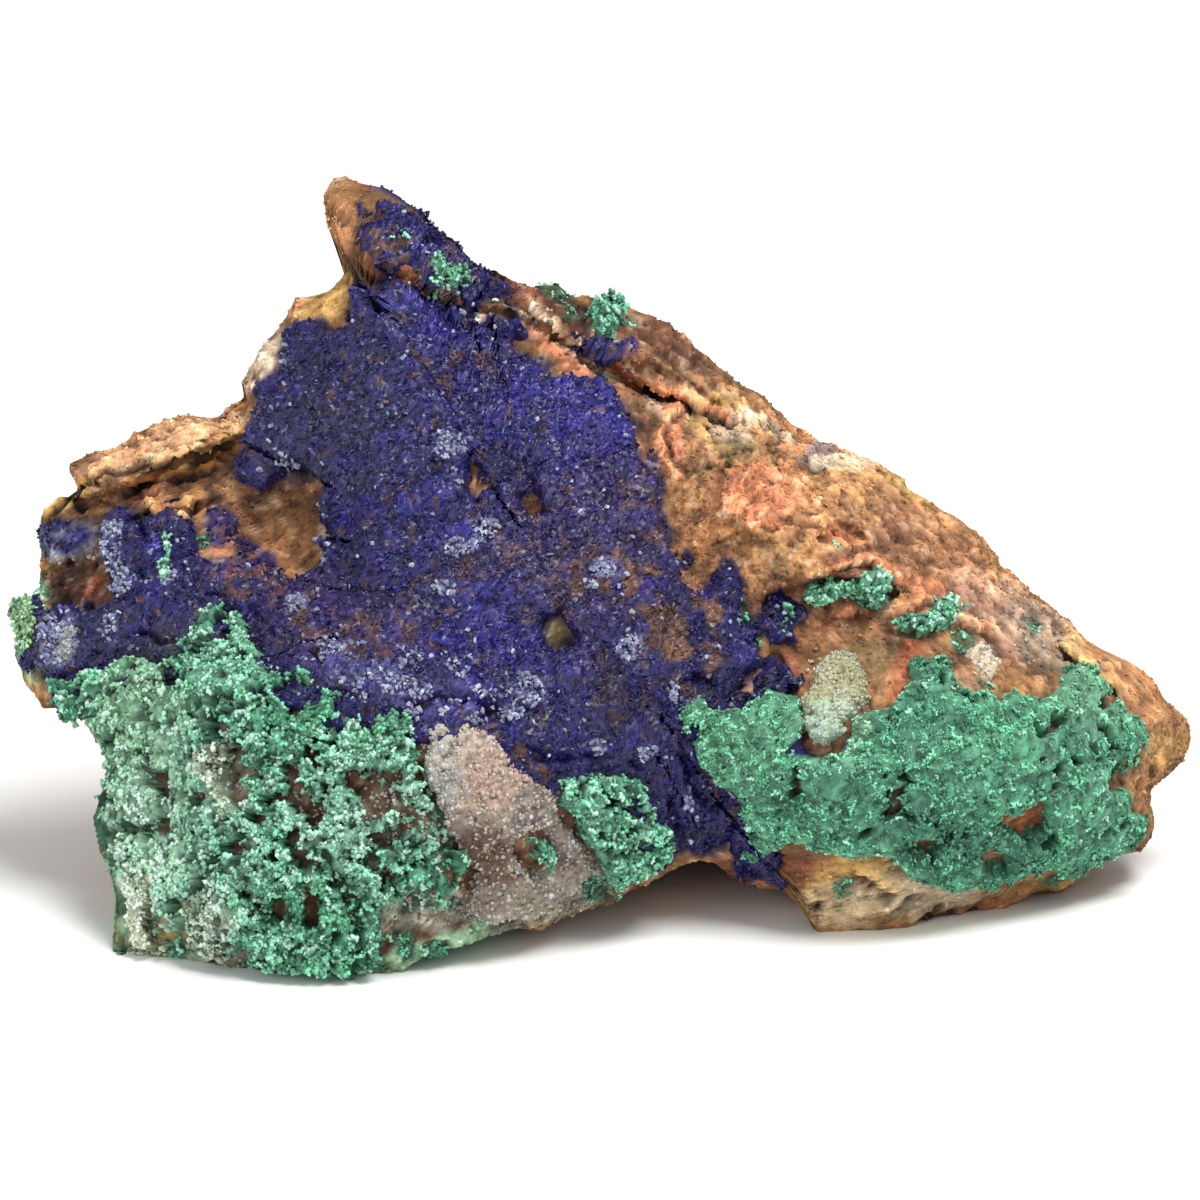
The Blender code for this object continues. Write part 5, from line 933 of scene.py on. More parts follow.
def tops_lit(points, centres, normals, strength):
    """How far each corner stands towards the outside of its own grain, from -1 to 1, times strength."""
    away = points.reshape(len(centres), -1, 3) - centres[:, None]
    reach = np.einsum("ijk,ik->ij", away, normals)
    return (strength * reach / np.abs(reach).max(axis=1, keepdims=True)).reshape(-1)


def repeated(colour, shape):
    """Each copy's colour, once for every corner of the shape."""
    return np.repeat(colour, len(shape), axis=0)


def sizes_of(count, middle, spread, rng):
    """Sizes about the middle ones, each by a share of its own within the spread, and by one in common."""
    own = rng.uniform(1 - spread, 1 + spread, (count, 3))
    return np.array(middle) * own * rng.uniform(0.75, 1.3, (count, 1))


# ---------------- the rock

GRID_HALF = (40.0, 24.0)  # half width and half height that the grid's cells are shared out over
FRONT_COLUMNS, FRONT_ROWS = 364, 214  # the front's cells; the rear has half as many each way
USUAL_SIDE = 0.5  # a face's side up to this long bears the whole relief
REAR_SIDE = 2.6  # times as long on the rear
RIM_CALM = 0.5  # how much lower the relief is at the rim of the front
LAYER_DIP, LAYER_WIDTH = (0.55, 0.25, 0.8), 0.9  # the way across the thin layers, and how thick each is
CHIP_COUNT, CHIP_SIZE = 7600, (0.15, 0.15, 0.07)  # loose chips on the bare rock, and their half sizes
SCATTERED = 0.12  # share of the chips' density that falls outside the crumbly zones
ROCK_PATCHES = [  # (colour, strength, size and layers and seed of the noise, limits)
    ("ochre", 0.55, (7.0, 2, 201), (-0.2, 0.8)),
    ("earth", 0.7, (9.0, 2, 211), (0.0, 0.9)),
    ("apricot", 0.4, (4.0, 3, 221), (0.2, 0.9)),
]
# Films on the rear: (colour, noise above which it starts, seed).
REAR_PATCHES = [("film", 0.5, 241), ("russet", 0.1, 243), ("cream", 0.35, 244), ("sepia", 0.45, 245)]
# Zones of the front: (across, up, half width, half height, turn).
LAYERED = [(-2.9, 45, 12.9, 2.7, -34), (-30.7, 35.5, 7.4, 3.4, 20), (5.9, 41.6, 6.1, 2.7, -38)]
PITTED = [(20.1, 6.4, 6.8, 3.4, 8), (8.6, 36.9, 2.3, 2.3, 0), (-35.7, 26.7, 2.7, 2.4, 0)]
CRUMBLY = [
    (-35.7, 26.9, 2.8, 2.8, 0), (-21.5, 31.1, 3.5, 3.5, 0), (-17.8, 52.5, 1.1, 3.4, 0),
    (17.4, 6.4, 6.1, 2, 0), (14.7, 24.7, 6.1, 3.7, -10), (26.2, 24.7, 6.8, 3.4, -35),
    (11.3, 34.2, 6.1, 3.4, -20), (-28.6, 34.9, 6.1, 2.7, 20), (20.1, 6.4, 7.4, 2.7, 8),
    (-5.6, 9.1, 8.1, 4.7, -20), (5.9, 31.5, 2.7, 6.1, 0), (-0.2, 43, 6.1, 1.4, -38),
    (37, 16.6, 3.4, 3.4, 0),
]
# Broken edges: (line from left to right, lift above it, cut below it, colour above it, colour below it, which
# is painted shade under the edge).
LIPS = [
    ([(-35.5, 34), (-34, 34.7), (-31.9, 35.3), (-30.3, 35.5), (-28.6, 36.1), (-26.5, 36.5), (-24.8, 37.1)],
     0.2, 0.6, "tan", "sepia"),
    ([(-38, 31.4), (-37.4, 32.1), (-36.5, 33.2), (-35.3, 33.8), (-34, 34.2)], 0.3, 0.5, "straw", "sepia"),
    ([(-31.4, 32.6), (-30, 31.6), (-28.2, 31.7), (-27.5, 33)], 0.3, 0.5, "apricot", "umber"),
    ([(-32.8, 33.6), (-30.7, 34.3), (-28, 34.7), (-25.8, 35.4)], 0.25, 0.6, "ochre", "sepia"),
    ([(-5.9, 46.9), (-4.5, 45.6), (-3.2, 44.4), (-1.6, 43.1), (0, 41.5), (1.9, 40.5)],
     0.25, 0.15, "cream", "earth"),
    ([(1.9, 40.7), (4.2, 40), (6.6, 39.3), (9.3, 38)], 0.3, 0.7, "salmon", "sepia"),
    ([(5.9, 34.2), (4.4, 35.4), (4, 36.9), (4.7, 38.5), (6, 39.7)], 0.4, 0.3, "salmon", "earth"),
    ([(15.2, 28), (16.7, 28.6), (18.2, 28.4), (19.6, 27.4)], 0.35, 0.4, "salmon", "umber"),
    ([(30.8, 23.2), (32.3, 22), (34.2, 20.4), (35.5, 19.3)], 0.3, 0.4, "straw", "earth"),
    ([(-17.1, 48.9), (-15.6, 48.2), (-13.7, 47.6), (-11, 46.4), (-8.3, 45.5)],
     0.25, 0.4, "russet", "sepia"),
    ([(16.7, 7.9), (18.7, 6.8), (20.1, 6)], 0.2, 0.3, "straw", "umber"),
    ([(20.4, 25.2), (22.1, 25.8), (24.5, 24.6), (26.9, 23.4)], 0.3, 0.35, "salmon", "earth"),
    ([(-23.9, 34.5), (-23.1, 34.9), (-21.2, 35), (-19.8, 34.9)], 0.1, 0.5, "russet", "umber"),
]
LIP_REACH = (0.5, 0.4)  # how far the lift and the cut of a broken edge reach
# Specks of crystals on bare rock, as zones.
AZURITE_SPECKS = [
    (-25.9, 31, 1, 1.2, 0), (-23.1, 28.6, 2.3, 0.8, -40), (-14.9, 52.5, 1.4, 0.9, -20),
    (-16, 52.7, 0.6, 1.2, 0), (-13.6, 53.1, 3.2, 0.4, -42), (-9.9, 50, 2.4, 0.4, -38),
    (1.7, 43.2, 0.5, 0.5, 0), (9.6, 7.9, 0.7, 1.2, 20), (16.3, 13.2, 1.7, 0.3, 8),
    (-31.2, 17.1, 0.9, 1.8, -14), (-32, 9.9, 0.3, 1.4, 0), (-36.8, 30.5, 1.8, 0.9, 0),
    (-30.7, 31.1, 1.4, 0.5, 10), (-32.6, 32, 0.9, 0.4, 12), (3.5, 30.5, 0.6, 0.8, 0),
    (5.5, 28.8, 0.5, 0.6, 0), (4.7, 25.2, 2, 1.8, 0), (-23.8, 32.8, 0.5, 0.5, 0),
    (-24.6, 26.7, 3.4, 0.9, -12), (-28.2, 29, 0.8, 2, 0), (-17, 45.3, 0.5, 0.4, 0),
    (-13.1, 50.8, 0.7, 0.3, -30), (3.3, 35.4, 0.4, 0.7, 0), (-7, 46.9, 1.1, 0.5, -20),
    (-33.5, 20, 2, 1.4, 0),
]
MALACHITE_SPECKS = [
    (-26.9, 30.1, 0.4, 0.5, 0), (-29.4, 29, 0.6, 2, 4), (-31.9, 21.5, 1.5, 0.6, 18),
    (-16.8, 46.4, 0.5, 0.3, 0), (-6.9, 46.3, 0.4, 0.2, 0), (-3.2, 47.2, 1.2, 0.5, -20),
    (-2.1, 45.5, 0.5, 0.3, 0), (1.8, 45, 0.6, 0.3, -30), (-10.6, 48.9, 1.5, 0.5, -28),
    (-11, 47.4, 1.2, 0.7, -40), (-13.9, 50.7, 0.9, 0.3, 20), (0.3, 43.9, 0.5, 0.7, 0),
    (9.2, 25.7, 0.6, 0.7, 0), (6.5, 23.8, 0.5, 0.4, 0), (9.4, 23.8, 1.4, 0.8, 0),
    (20.8, 24.2, 0.9, 0.6, -10), (23.2, 25.6, 1.2, 0.5, -10), (29.1, 24.4, 0.5, 0.7, 0),
    (15.7, 29.4, 0.4, 0.3, 0), (18.3, 26.6, 0.9, 0.9, 0), (15.1, 26.9, 1.2, 0.6, 10),
    (16.4, 6.7, 0.6, 0.6, 0), (-7, 12.6, 0.6, 0.5, 0), (-8.3, 11.2, 0.4, 0.7, 0), (-0.8, 24.6, 0.3, 0.3, 0),
    (-2.1, 24.8, 0.3, 0.2, 0), (25.9, 20.9, 0.4, 0.8, 0), (24.4, 23.4, 0.8, 0.7, 0),
    (17.1, 26.1, 0.7, 0.2, -20), (35.5, 15.2, 0.9, 0.9, 0), (-39.2, 23.9, 0.5, 2, 4),
    (30.9, 7.1, 1.1, 0.3, 12), (-11.7, 10.5, 2.3, 3.4, -10), (-13.4, 7.1, 2, 1.6, 0),
    (-15.4, 3.6, 3.4, 0.6, -8), (-10, 5.4, 2.3, 0.5, -16), (-29.3, 29.4, 0.5, 1.8, 4),
    (-30.7, 10.2, 0.7, 6.8, 4), (-33.2, 12.5, 0.8, 4.1, 4), (-31, 3.7, 0.9, 2.4, 0),
    (-0.9, 7.1, 2, 0.8, -30), (-20.5, 1.2, 4.7, 0.7, 2), (-30, 2.4, 2.7, 0.7, 6),
    (-12.4, 2.7, 3.4, 0.6, -16), (-17.1, 7.1, 2, 3.4, 0), (-26.9, 19.3, 2, 2, 0), (33, 19.3, 0.9, 0.7, 0),
    (-2.9, 13.9, 0.9, 0.6, -30),
]
# Pale grains on the brown matrix, as zones.
PALE_SPECKS = [
    (-1.6, 12.5, 1.6, 2.7, -20), (-15.8, 12.5, 4.1, 6.1, 0), (-25.6, 13.9, 1.6, 2.7, 12),
    (-8.7, 9.1, 2.4, 2.3, 0), (-11.7, 9.1, 2.7, 4.1, 0), (-17.8, 13.9, 4.1, 4.1, 0),
    (-24.9, 6.4, 1.8, 4.1, 0), (15.4, 20, 2, 2.7, 0), (8.1, 37.4, 1.1, 0.9, 0), (-35.7, 28.8, 1.4, 0.4, 0),
    (-2.9, 43.7, 3.4, 0.5, -38), (-4.3, 7.1, 4.1, 1.4, -20), (-12, 5.4, 4.1, 1.2, 0),
    (-0.2, 43, 4.1, 0.5, -38), (-9.3, 45.3, 0.9, 0.5, 0), (25.8, 22.3, 0.9, 0.8, 0),
    (29.9, 22.7, 2.3, 1.4, -36),
]


def rounded_grid(columns, rows):
    """A square grid bent to an oval of nearly square cells: bearings and shares of the way to the edge."""
    u, v = np.meshgrid(np.linspace(-1.0, 1.0, columns + 1), np.linspace(-1.0, 1.0, rows + 1))
    across, up = u * np.sqrt(1.0 - v * v / 2.0), v * np.sqrt(1.0 - u * u / 2.0)
    bearing = np.arctan2(up * GRID_HALF[1], across * GRID_HALF[0])
    return bearing.ravel(), np.minimum(np.hypot(across, up), 1.0).ravel()


def cell_faces(first, per_row):
    """Two triangles for each cell of a grid, from its first point and how many points a row has."""
    beside, above = first + 1, first + per_row
    halves = [[first, beside, above + 1], [first, above + 1, above]]
    return np.concatenate([np.column_stack(corners) for corners in halves])


def grid_faces(columns, rows):
    """The triangles of a grid of points, wound to face whoever looks at it."""
    return cell_faces((np.arange(rows)[:, None] * (columns + 1) + np.arange(columns)).ravel(), columns + 1)


def ring_of(columns, rows):
    """The points round the edge of a grid, in order."""
    low, high = np.arange(columns), (columns + 1) * np.arange(rows)
    last = (columns + 1) * rows
    return np.concatenate([low, high + columns, last + columns - low, last - high])


def closed_grid():
    """Bearings, shares and triangles of the whole lump: a fine front disc sewn to a coarser rear."""
    columns, rows = FRONT_COLUMNS // 2, FRONT_ROWS // 2
    front_bearing, front_share = rounded_grid(FRONT_COLUMNS, FRONT_ROWS)
    rear_bearing, rear_share = rounded_grid(columns, rows)
    rear_share = 2.0 - rear_share * (1.0 - 1.0 / FRONT_COLUMNS)
    offset = len(front_share)
    fine, coarse = ring_of(FRONT_COLUMNS, FRONT_ROWS), ring_of(columns, rows) + offset
    start, middle, end = fine[::2], fine[1::2], np.roll(fine, -2)[::2]
    after = np.roll(coarse, -1)
    seam = [[start, coarse, middle], [coarse, after, middle], [middle, after, end]]
    faces = [grid_faces(FRONT_COLUMNS, FRONT_ROWS), grid_faces(columns, rows)[:, ::-1] + offset]
    faces = np.concatenate(faces + [np.column_stack(corners) for corners in seam])
    return np.r_[front_bearing, rear_bearing], np.r_[front_share, rear_share], faces


def beds_of_rock(points, seed):
    """Thin layers that dip to the right, as on the ridge and the ledges: a saw-edged wave across them."""
    across = points @ np.array(LAYER_DIP) + 0.8 * grain(points / 5.0, seed)
    wave = across / LAYER_WIDTH - np.floor(across / LAYER_WIDTH)
    return np.abs(wave - 0.25) - 0.3


def lips(places, points, seed):
    """Height of the broken edges, and for each how near its upper and its lower side every point is."""
    height, sides = np.zeros(len(places)), []
    wobble = 0.3 * layered_grain(points, 1.3, 3, seed)
    for line, lift, cut, _, _ in LIPS:
        gap, side, share = beside_line(places, line)
        signed = gap * side + wobble
        ends = fading_ends(share)
        upper = one_sided(signed, LIP_REACH[0]) * smooth(signed, -0.1, 0.1) * ends
        lower = one_sided(-signed, LIP_REACH[1]) * smooth(-signed, -0.1, 0.1) * ends
        height += lift * upper - cut * lower
        sides.append((upper, lower))
    return height, sides


def rock_relief(points, places, quiet, on_front):
    """Height of the surface: waves, broken faces, layers and pits, lower where quiet; coarser on the rear."""
    waves = layered_grain(points, 2.0, 4, 101)
    shaken = points + 0.3 * waves[:, None]
    first, number, _ = cells(points / 0.95, 141)
    front = 0.15 * waves + 0.26 * chips(shaken, 1.3, 111) + 0.15 * chips(points, 0.6, 121)
    front += 0.28 * beds_of_rock(points, 131) * zone(places, LAYERED)
    front -= 0.6 * smooth(0.5 - first, 0.0, 0.35) * (number > 0.55) * zone(places, PITTED)
    first, number, _ = cells(points / 2.2, 145)
    broad, fine = chips(shaken, 2.8, 153), chips(shaken, 1.5, 155)
    rear = 0.3 * layered_grain(points, 3.4, 4, 151) + 0.3 * broad + 0.14 * fine
    rear -= 0.5 * smooth(0.45 - first, 0.0, 0.3) * (number > 0.7)
    return rear + (front * (1.0 - 0.6 * quiet) - rear) * on_front


def front_colour(ground, points, places, near_edge, under, edges):
    """The front's stains and broken edges with painted shade below them, a brown matrix about the malachite
    and dusk about the azurite.
    """
    front = stained(ground, points, places, ROCK_STAINS, 231)
    for (_, _, _, above, shade_colour_below), (upper, lower) in zip(LIPS, edges):
        front = blend(front, above, 0.8 * upper)
        # Painted shade: the dark colour laid below each broken edge.
        front = blend(front, shade_colour_below, 0.85 * lower)
    broken = 0.5 * layered_grain(points, 1.2, 3, 261)
    matrix = patchy(plain("umber", points), "stone", 0.6, points, (1.0, 3, 271), (-0.1, 0.6))
    matrix = blend(matrix, "sage", 0.9 * near_edge)
    front = front + (matrix - front) * (0.8 * smooth(under["malachite"] + broken, -0.5, 0.4))[:, None]
    front = stained(front, points, places, RIM_STAINS, 281)
    front = blend(front, "dusk", 0.85 * smooth(under["azurite"] + broken, -0.6, 0.2))
    for name, specks, strength in [("indigo", AZURITE_SPECKS, 0.8), ("fern", MALACHITE_SPECKS, 0.7)]:
        front = blend(front, name, strength * zone(places, specks) * smooth(broken, -0.3, 0.1))
    return front


def rock_colour(points, places, on_front, near_edge, under, edges, even):
    """Limonite in patches of ochre and earth, dressed on the front, filmed on the rear and flecked."""
    colour = plain("limonite", points)
    for name, strength, waves, limits in ROCK_PATCHES:
        colour = patchy(colour, name, strength, points, waves, limits)
    front = front_colour(colour, points, places, near_edge, under, edges)
    colour = colour + (front - colour) * on_front[:, None]
    rear = (1.0 - on_front) * smooth(layered_grain(points, 1.1, 3, 242), -0.1, 0.5)
    for name, least, seed in REAR_PATCHES:
        colour = patchy(colour, name, 0.6 * rear, points, (5.0, 3, seed), (least, 0.9))
    coarse = layered_grain(points, 1.8, 4, 252)
    fleck = coarse + (layered_grain(points, 0.6, 2, 251) * even - coarse) * on_front
    colour = blend(colour, "cream", 0.38 * smooth(fleck, 0.3, 0.9))
    return blend(colour, "umber", 0.6 * smooth(-fleck, 0.25, 0.9))


def build_chips(points, normals, colour, wanted, material):
    """Loose angular chips on the rock, more of them where wanted is high."""
    rng = np.random.default_rng(150)
    seats = rng.choice(len(points), size=CHIP_COUNT, replace=False, p=wanted / wanted.sum())
    sizes = sizes_of(CHIP_COUNT, CHIP_SIZE, 0.3, rng)
    corners, faces = dented(CHIP, CHIP_FACES, points[seats], normals[seats], sizes, rng)
    tone = rng.uniform(0.78, 1.22, CHIP_COUNT)[:, None]
    make_piece("rock_chips", corners, faces, repeated(colour[seats] * tone, CHIP), material, False)


def build_rock(material):
    """The rock and its loose chips. Returns its points, normals and places, for what is seated on it."""
    bearing, share, faces = closed_grid()
    points = lump(bearing, share)
    front = share <= 1.0
    places = polar(bearing, reach_across(bearing, np.where(front, share, 2.0 - share)))
    spots = polar(bearing, np.minimum(share, 1.0) * edge_reach(bearing))
    on_front = smooth(1.12 - share, 0.0, 0.1)
    under = {}
    for kind in ("azurite", "malachite", "pale"):
        under[kind], _ = cover_depth(spots, [name for name in CRUSTS if name.startswith(kind)])
    covered = smooth(np.max(list(under.values()), axis=0), -0.2, 0.6) * on_front
    edge_height, edges = lips(places, points, 161)
    even = evenness(points, faces, USUAL_SIDE * (REAR_SIDE - (REAR_SIDE - 1.0) * on_front))
    near_edge = smooth(share, 0.9, 0.97)
    even = even * (1.0 - RIM_CALM * near_edge * smooth(1.2 - share, 0.0, 0.1))
    relief = rock_relief(points, places, covered, on_front) * even + edge_height * on_front * (1.0 - covered)
    colour = rock_colour(points, places, on_front, near_edge, under, edges, even)
    # Painted shade and light: the rock's colour is darkened where its relief lies deep and lightened where it
    # stands up.
    colour = shaded(colour, relief / 0.3, 0.36)
    points = points + point_normals(points, faces) * relief[:, None]
    rock = make_piece("rock", points, faces, colour, material)
    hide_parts("host_rock")

    normals = point_normals(points, faces)
    bare = (covered < 0.4) & (points[:, 2] > 0.6)
    wanted = bare * np.where(front, SCATTERED + zone(places, CRUMBLY), SCATTERED)
    build_chips(points, normals, colour, wanted, material)
    return {"points": points, "normals": normals, "places": places, "front": front}


# ---------------- crusts

GRID_MARGIN = 2.0  # how far a crust's grid reaches past its outline
LEAST_DEPTH, OUTERMOST = -0.35, 0.99  # depth and share of the way to the edge that bound a sheet
SINK = 0.45  # how far a crust's underside and its thin border lie below the rock's surface
GAP_SLOPE = 2.5  # how fast a crust deepens beside a gap
GAPPY = [  # where a crust is broken into tufts
    (-15.8, 11.8, 3.8, 6.1, 0), (-12.4, 9.1, 3.4, 4.1, 0), (31.6, 14.6, 2.7, 6.1, 0),
    (16.6, 26.7, 4.1, 1.8, 0), (22, 24.9, 3, 1.9, 0),
]
GAPPIER = 0.3  # less noise is enough to open a crust there
LONGEST_SIDE = 4.5  # times the grid's step: a face near the border drawn out longer than this is left out
NEAR_BORDER = 1.2  # depth up to which a face counts as near the border
USUAL_STEPS = 4.5  # times the grid's step: a side up to this long bears the whole relief
CLOSED = 9.0  # for open_above, more than the noise ever reaches


def shaken_grid(names, step, seed):
    """Spots of a grid over the named crusts, each shaken off its place, and how many of them a row has."""
    loops = [onto_disc(CRUSTS[name][1]) for name in names]
    low = np.min([loop.min(axis=0) for loop in loops], axis=0) - GRID_MARGIN
    high = np.max([loop.max(axis=0) for loop in loops], axis=0) + GRID_MARGIN
    columns, rows = np.arange(low[0], high[0], step), np.arange(low[1], high[1], step)
    spots = np.stack(np.meshgrid(columns, rows), axis=-1).reshape(-1, 2)
    return spots + np.random.default_rng(seed).uniform(-0.3, 0.3, spots.shape) * step, len(columns)


def sheet_faces(base, depth, share, per_row, step):
    """Triangles of the grid's cells that a crust covers, without those drawn out long near its border."""
    grid = ((depth > LEAST_DEPTH) & (share < OUTERMOST)).reshape(-1, per_row)
    whole = grid[:-1, :-1] & grid[1:, :-1] & grid[:-1, 1:] & grid[1:, 1:]
    numbers = np.arange(grid.size).reshape(grid.shape)
    faces = cell_faces(numbers[:-1, :-1][whole], per_row)
    inner = depth[faces].min(axis=1) > NEAR_BORDER
    return faces[(longest_sides(base, faces) < LONGEST_SIDE * step) | inner]


def closed_faces(faces, count):
    """A sheet's triangles, those of its underside count points on, and the walls between their borders."""
    sides = np.concatenate([faces[:, [0, 1]], faces[:, [1, 2]], faces[:, [2, 0]]])
    known = sides[:, 1] * count + sides[:, 0]
    start, end = sides[~np.isin(sides[:, 0] * count + sides[:, 1], known)].T
    walls = [[end, start, start + count], [end, start + count, end + count]]
    return np.concatenate([faces, faces[:, ::-1] + count] + [np.column_stack(corners) for corners in walls])


def crust_bed(names, step, border, ragged, open_above, relief_of, seed, beneath=()):
    """A closed sheet over the named crusts on a shaken grid of the disc, sinking over its border.

    ragged is how far noise moves the border, open_above the noise above which the inside is open too,
    and relief_of gives the height of the lumps. The sheet also runs on, thinner, under the edges of the
    crusts named in beneath.
    """
    spots, per_row = shaken_grid(names, step, seed)
    depth, thickness = cover_depth(spots, names)
    if beneath:
        beside, _ = cover_depth(spots, beneath)
        thickness = thickness * (0.45 + 0.55 * smooth(depth, -0.5, 0.2))
        depth = np.maximum(depth, np.minimum(beside + 1.1, depth + 2.3))
    bearing, share = off_disc(spots)
    share = np.minimum(share, 1.0)
    base, places = lump(bearing, share), polar(bearing, reach_across(bearing, share))
    depth = depth + ragged * layered_grain(base, 1.7, 4, seed + 1)
    least = open_above - GAPPIER * zone(places, GAPPY)
    depth = np.minimum(depth, GAP_SLOPE * (least - layered_grain(base, 1.2, 3, seed + 7)))
    used, local = np.unique(sheet_faces(base, depth, share, per_row, step), return_inverse=True)
    faces = local.reshape(-1, 3)
    base, depth, thickness, places = base[used], depth[used], thickness[used], places[used]
    normals = point_normals(base, faces)
    full = smooth(depth, -0.3, border)
    relief = relief_of(base, places) * evenness(base, faces, USUAL_STEPS * step) * full
    height = -SINK + (SINK + SKIN_GAP + thickness) * full + relief
    outer, inner = base + normals * height[:, None], base - normals * (SINK + 0.1)
    return {
        "points": outer, "all": np.concatenate([outer, inner]), "faces": closed_faces(faces, len(used)),
        "normals": point_normals(outer, faces), "places": places, "depth": depth, "relief": relief,
    }


def build_bed(name, bed, colour, material, nodes, rounded=True):
    """The crust's closed sheet as a piece that replaces the named solids."""
    piece = make_piece(name, bed["all"], bed["faces"], np.concatenate([colour, colour]), material, rounded)
    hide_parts(*nodes)


def pick_seats(bed, count, least_depth, rng, wanted=1.0):
    """Points of a crust's sheet to seat crystals on, chosen at random, more where wanted is high."""
    weight = (bed["depth"] > least_depth) * wanted
    return rng.choice(len(weight), size=count, replace=False, p=weight / weight.sum())


def patch_seats(points, places, patches, density, rng):
    """Numbers of the points inside each ellipse, so many to the square millimetre, with a broken edge."""
    broken = 0.3 * layered_grain(points, 1.1, 2, 171)
    chosen = []
    for patch in patches:
        near = np.flatnonzero(ellipse_reach(places, patch) + broken < 1.05)
        count = int(density * math.pi * patch[2] * patch[3]) + 1
        if len(near):
            chosen.append(rng.choice(near, size=count))
    return np.concatenate(chosen)


def rock_seats(rock, patches, density, rng):
    """Centres, normals and places of seats on the front of the rock, shaken off the grid's points."""
    front = np.flatnonzero(rock["front"])
    chosen = front[patch_seats(rock["points"][front], rock["places"][front], patches, density, rng)]
    shaken = rock["points"][chosen] + rng.uniform(-0.14, 0.14, (len(chosen), 3))
    return shaken, rock["normals"][chosen], rock["places"][chosen]


def seats_on(bed, chosen, specks=None):
    """Centres, normals and places of the chosen seats of a sheet, followed by those of the specks."""
    seats = [bed[key][chosen] for key in ("points", "normals", "places")]
    return [np.concatenate(both) for both in zip(seats, specks)] if specks else seats


# ---------------- azurite

# Clusters of pale crystals, as zones.
PALE_CLUSTERS = [
    (-21, 35.5, 0.7, 0.5, 0), (-10, 36.1, 0.9, 0.8, 0), (-7.9, 30.5, 0.8, 0.6, 0),
    (-9.1, 29.3, 1.2, 0.5, 8), (0.1, 27.9, 0.9, 0.7, 0), (-0.7, 26.9, 0.4, 0.3, 0),
    (-10.6, 26.5, 0.7, 0.4, 0), (1.5, 22.8, 0.8, 0.9, 20), (-5.1, 19.8, 0.9, 1, -20),
    (2.5, 16.2, 0.7, 0.5, 0), (-0.9, 16.4, 0.4, 0.5, 0), (-18.1, 28.6, 0.3, 0.4, 0),
    (-20.5, 25, 0.8, 0.5, 10), (-6.2, 18.3, 0.9, 0.4, 0), (4.4, 20, 0.3, 0.8, 0), (-21.4, 42, 0.4, 0.3, 0),
    (-33, 29.8, 0.8, 1.8, 8), (-32.1, 27.4, 0.7, 1.1, 0), (-33.2, 19.3, 1.5, 0.9, 0),
    (-32.8, 23.9, 0.5, 0.8, 0), (7.4, 16.2, 0.8, 0.7, 0), (-18.7, 29.6, 0.3, 1.5, 8),
    (-9, 45.1, 0.9, 0.5, 0), (-17.5, 22.3, 0.5, 0.4, 0), (-36.6, 23.2, 1.2, 1.6, 0),
    (2.5, 11.2, 0.4, 0.3, 0), (5.5, 13.2, 0.4, 0.6, 0), (-29, 27.3, 0.8, 0.4, 0),
    (-1.6, 31.5, 0.4, 0.2, -20),
]
AZURITE_NODES = ["azurite_face_crust", "azurite_ridge_crust", "azurite_low_lobe"]
BLADE_COUNT, BLADE_SIZE = 8200, (0.24, 0.13, 0.32)  # blades on the sheet: width, thickness and length
SPECK_BLADES = 11.0  # blades to the square millimetre of a speck


def azurite_relief(points, places):
    """Low swells with sharp small faces."""
    swells = 0.16 * grain(points / 2.4, 301) + 0.12 * layered_grain(points, 1.0, 2, 302)
    return swells + 0.15 * chips(points, 0.5, 303)


def azurite_colour(points, places, seed):
    """Indigo, deeper or bluer by patches, with rusty spots where the rock shows between crystals."""
    colour = stained(plain("indigo", points), points, places, AZURITE_STAINS, seed)
    colour = patchy(colour, "royal", 0.5, points, (1.6, 2, 313), (0.1, 0.9))
    colour = stained(colour, points, places, AZURITE_MOTTLES, seed + 30, True)
    pale = 0.5 * zone(places, PALE_CLUSTERS) * smooth(grain(points / 0.5, 314), -0.3, 0.2)
    return patchy(blend(colour, "mist", pale), "umber", 0.7, points, (0.8, 3, 312), (0.55, 0.9))


def build_azurite(rock, material):
    """The azurite's sheet, and blades seated on it and in specks on the bare rock."""
    others = [name for name in CRUSTS if not name.startswith("azurite")]
    bed = crust_bed(
        AZURITE_NODES, step=0.16, border=0.5, ragged=0.32, open_above=CLOSED, relief_of=azurite_relief,
        seed=300, beneath=others,
    )
    # Painted shade and light: the bed's colour is darkened where its relief lies deep and lightened where it
    # stands up.
    colour = shaded(azurite_colour(bed["points"], bed["places"], 311), bed["relief"] / 0.3, 0.4)
    build_bed("azurite_bed", bed, colour, material, AZURITE_NODES, False)

    rng = np.random.default_rng(320)
    seats = pick_seats(bed, BLADE_COUNT, -0.1, rng)
    centres, normals, places = seats_on(bed, seats, rock_seats(rock, AZURITE_SPECKS, SPECK_BLADES, rng))
    sizes = sizes_of(len(centres), BLADE_SIZE, 0.25, rng)
    points, faces = blades(centres, normals, sizes, 1.1, rng)
    colour = azurite_colour(centres, places, 311) * rng.uniform(0.65, 1.4, len(centres))[:, None]
    # Painted glints: a few blades are tinted pale lilac.
    colour = blend(colour, "lilac", (rng.random(len(centres)) < 0.03) * 0.45)
    make_piece("azurite_crystals", points, faces, repeated(colour, BLOCK), material, False)
    return bed


PALE_DENSITY = 22.0  # pale crystals to the square millimetre of a cluster
DUST_COUNT, PALE_SIZE = 560, (0.27, 0.17, 0.26)  # scattered pale crystals, and the size of them all
DUSTED = [(-13.4, 20.3, 5.4, 1.6, -14), (-9, 19.3, 2.7, 1.1, -20), (-32, 19, 2.7, 1.6, 0)]  # where they lie


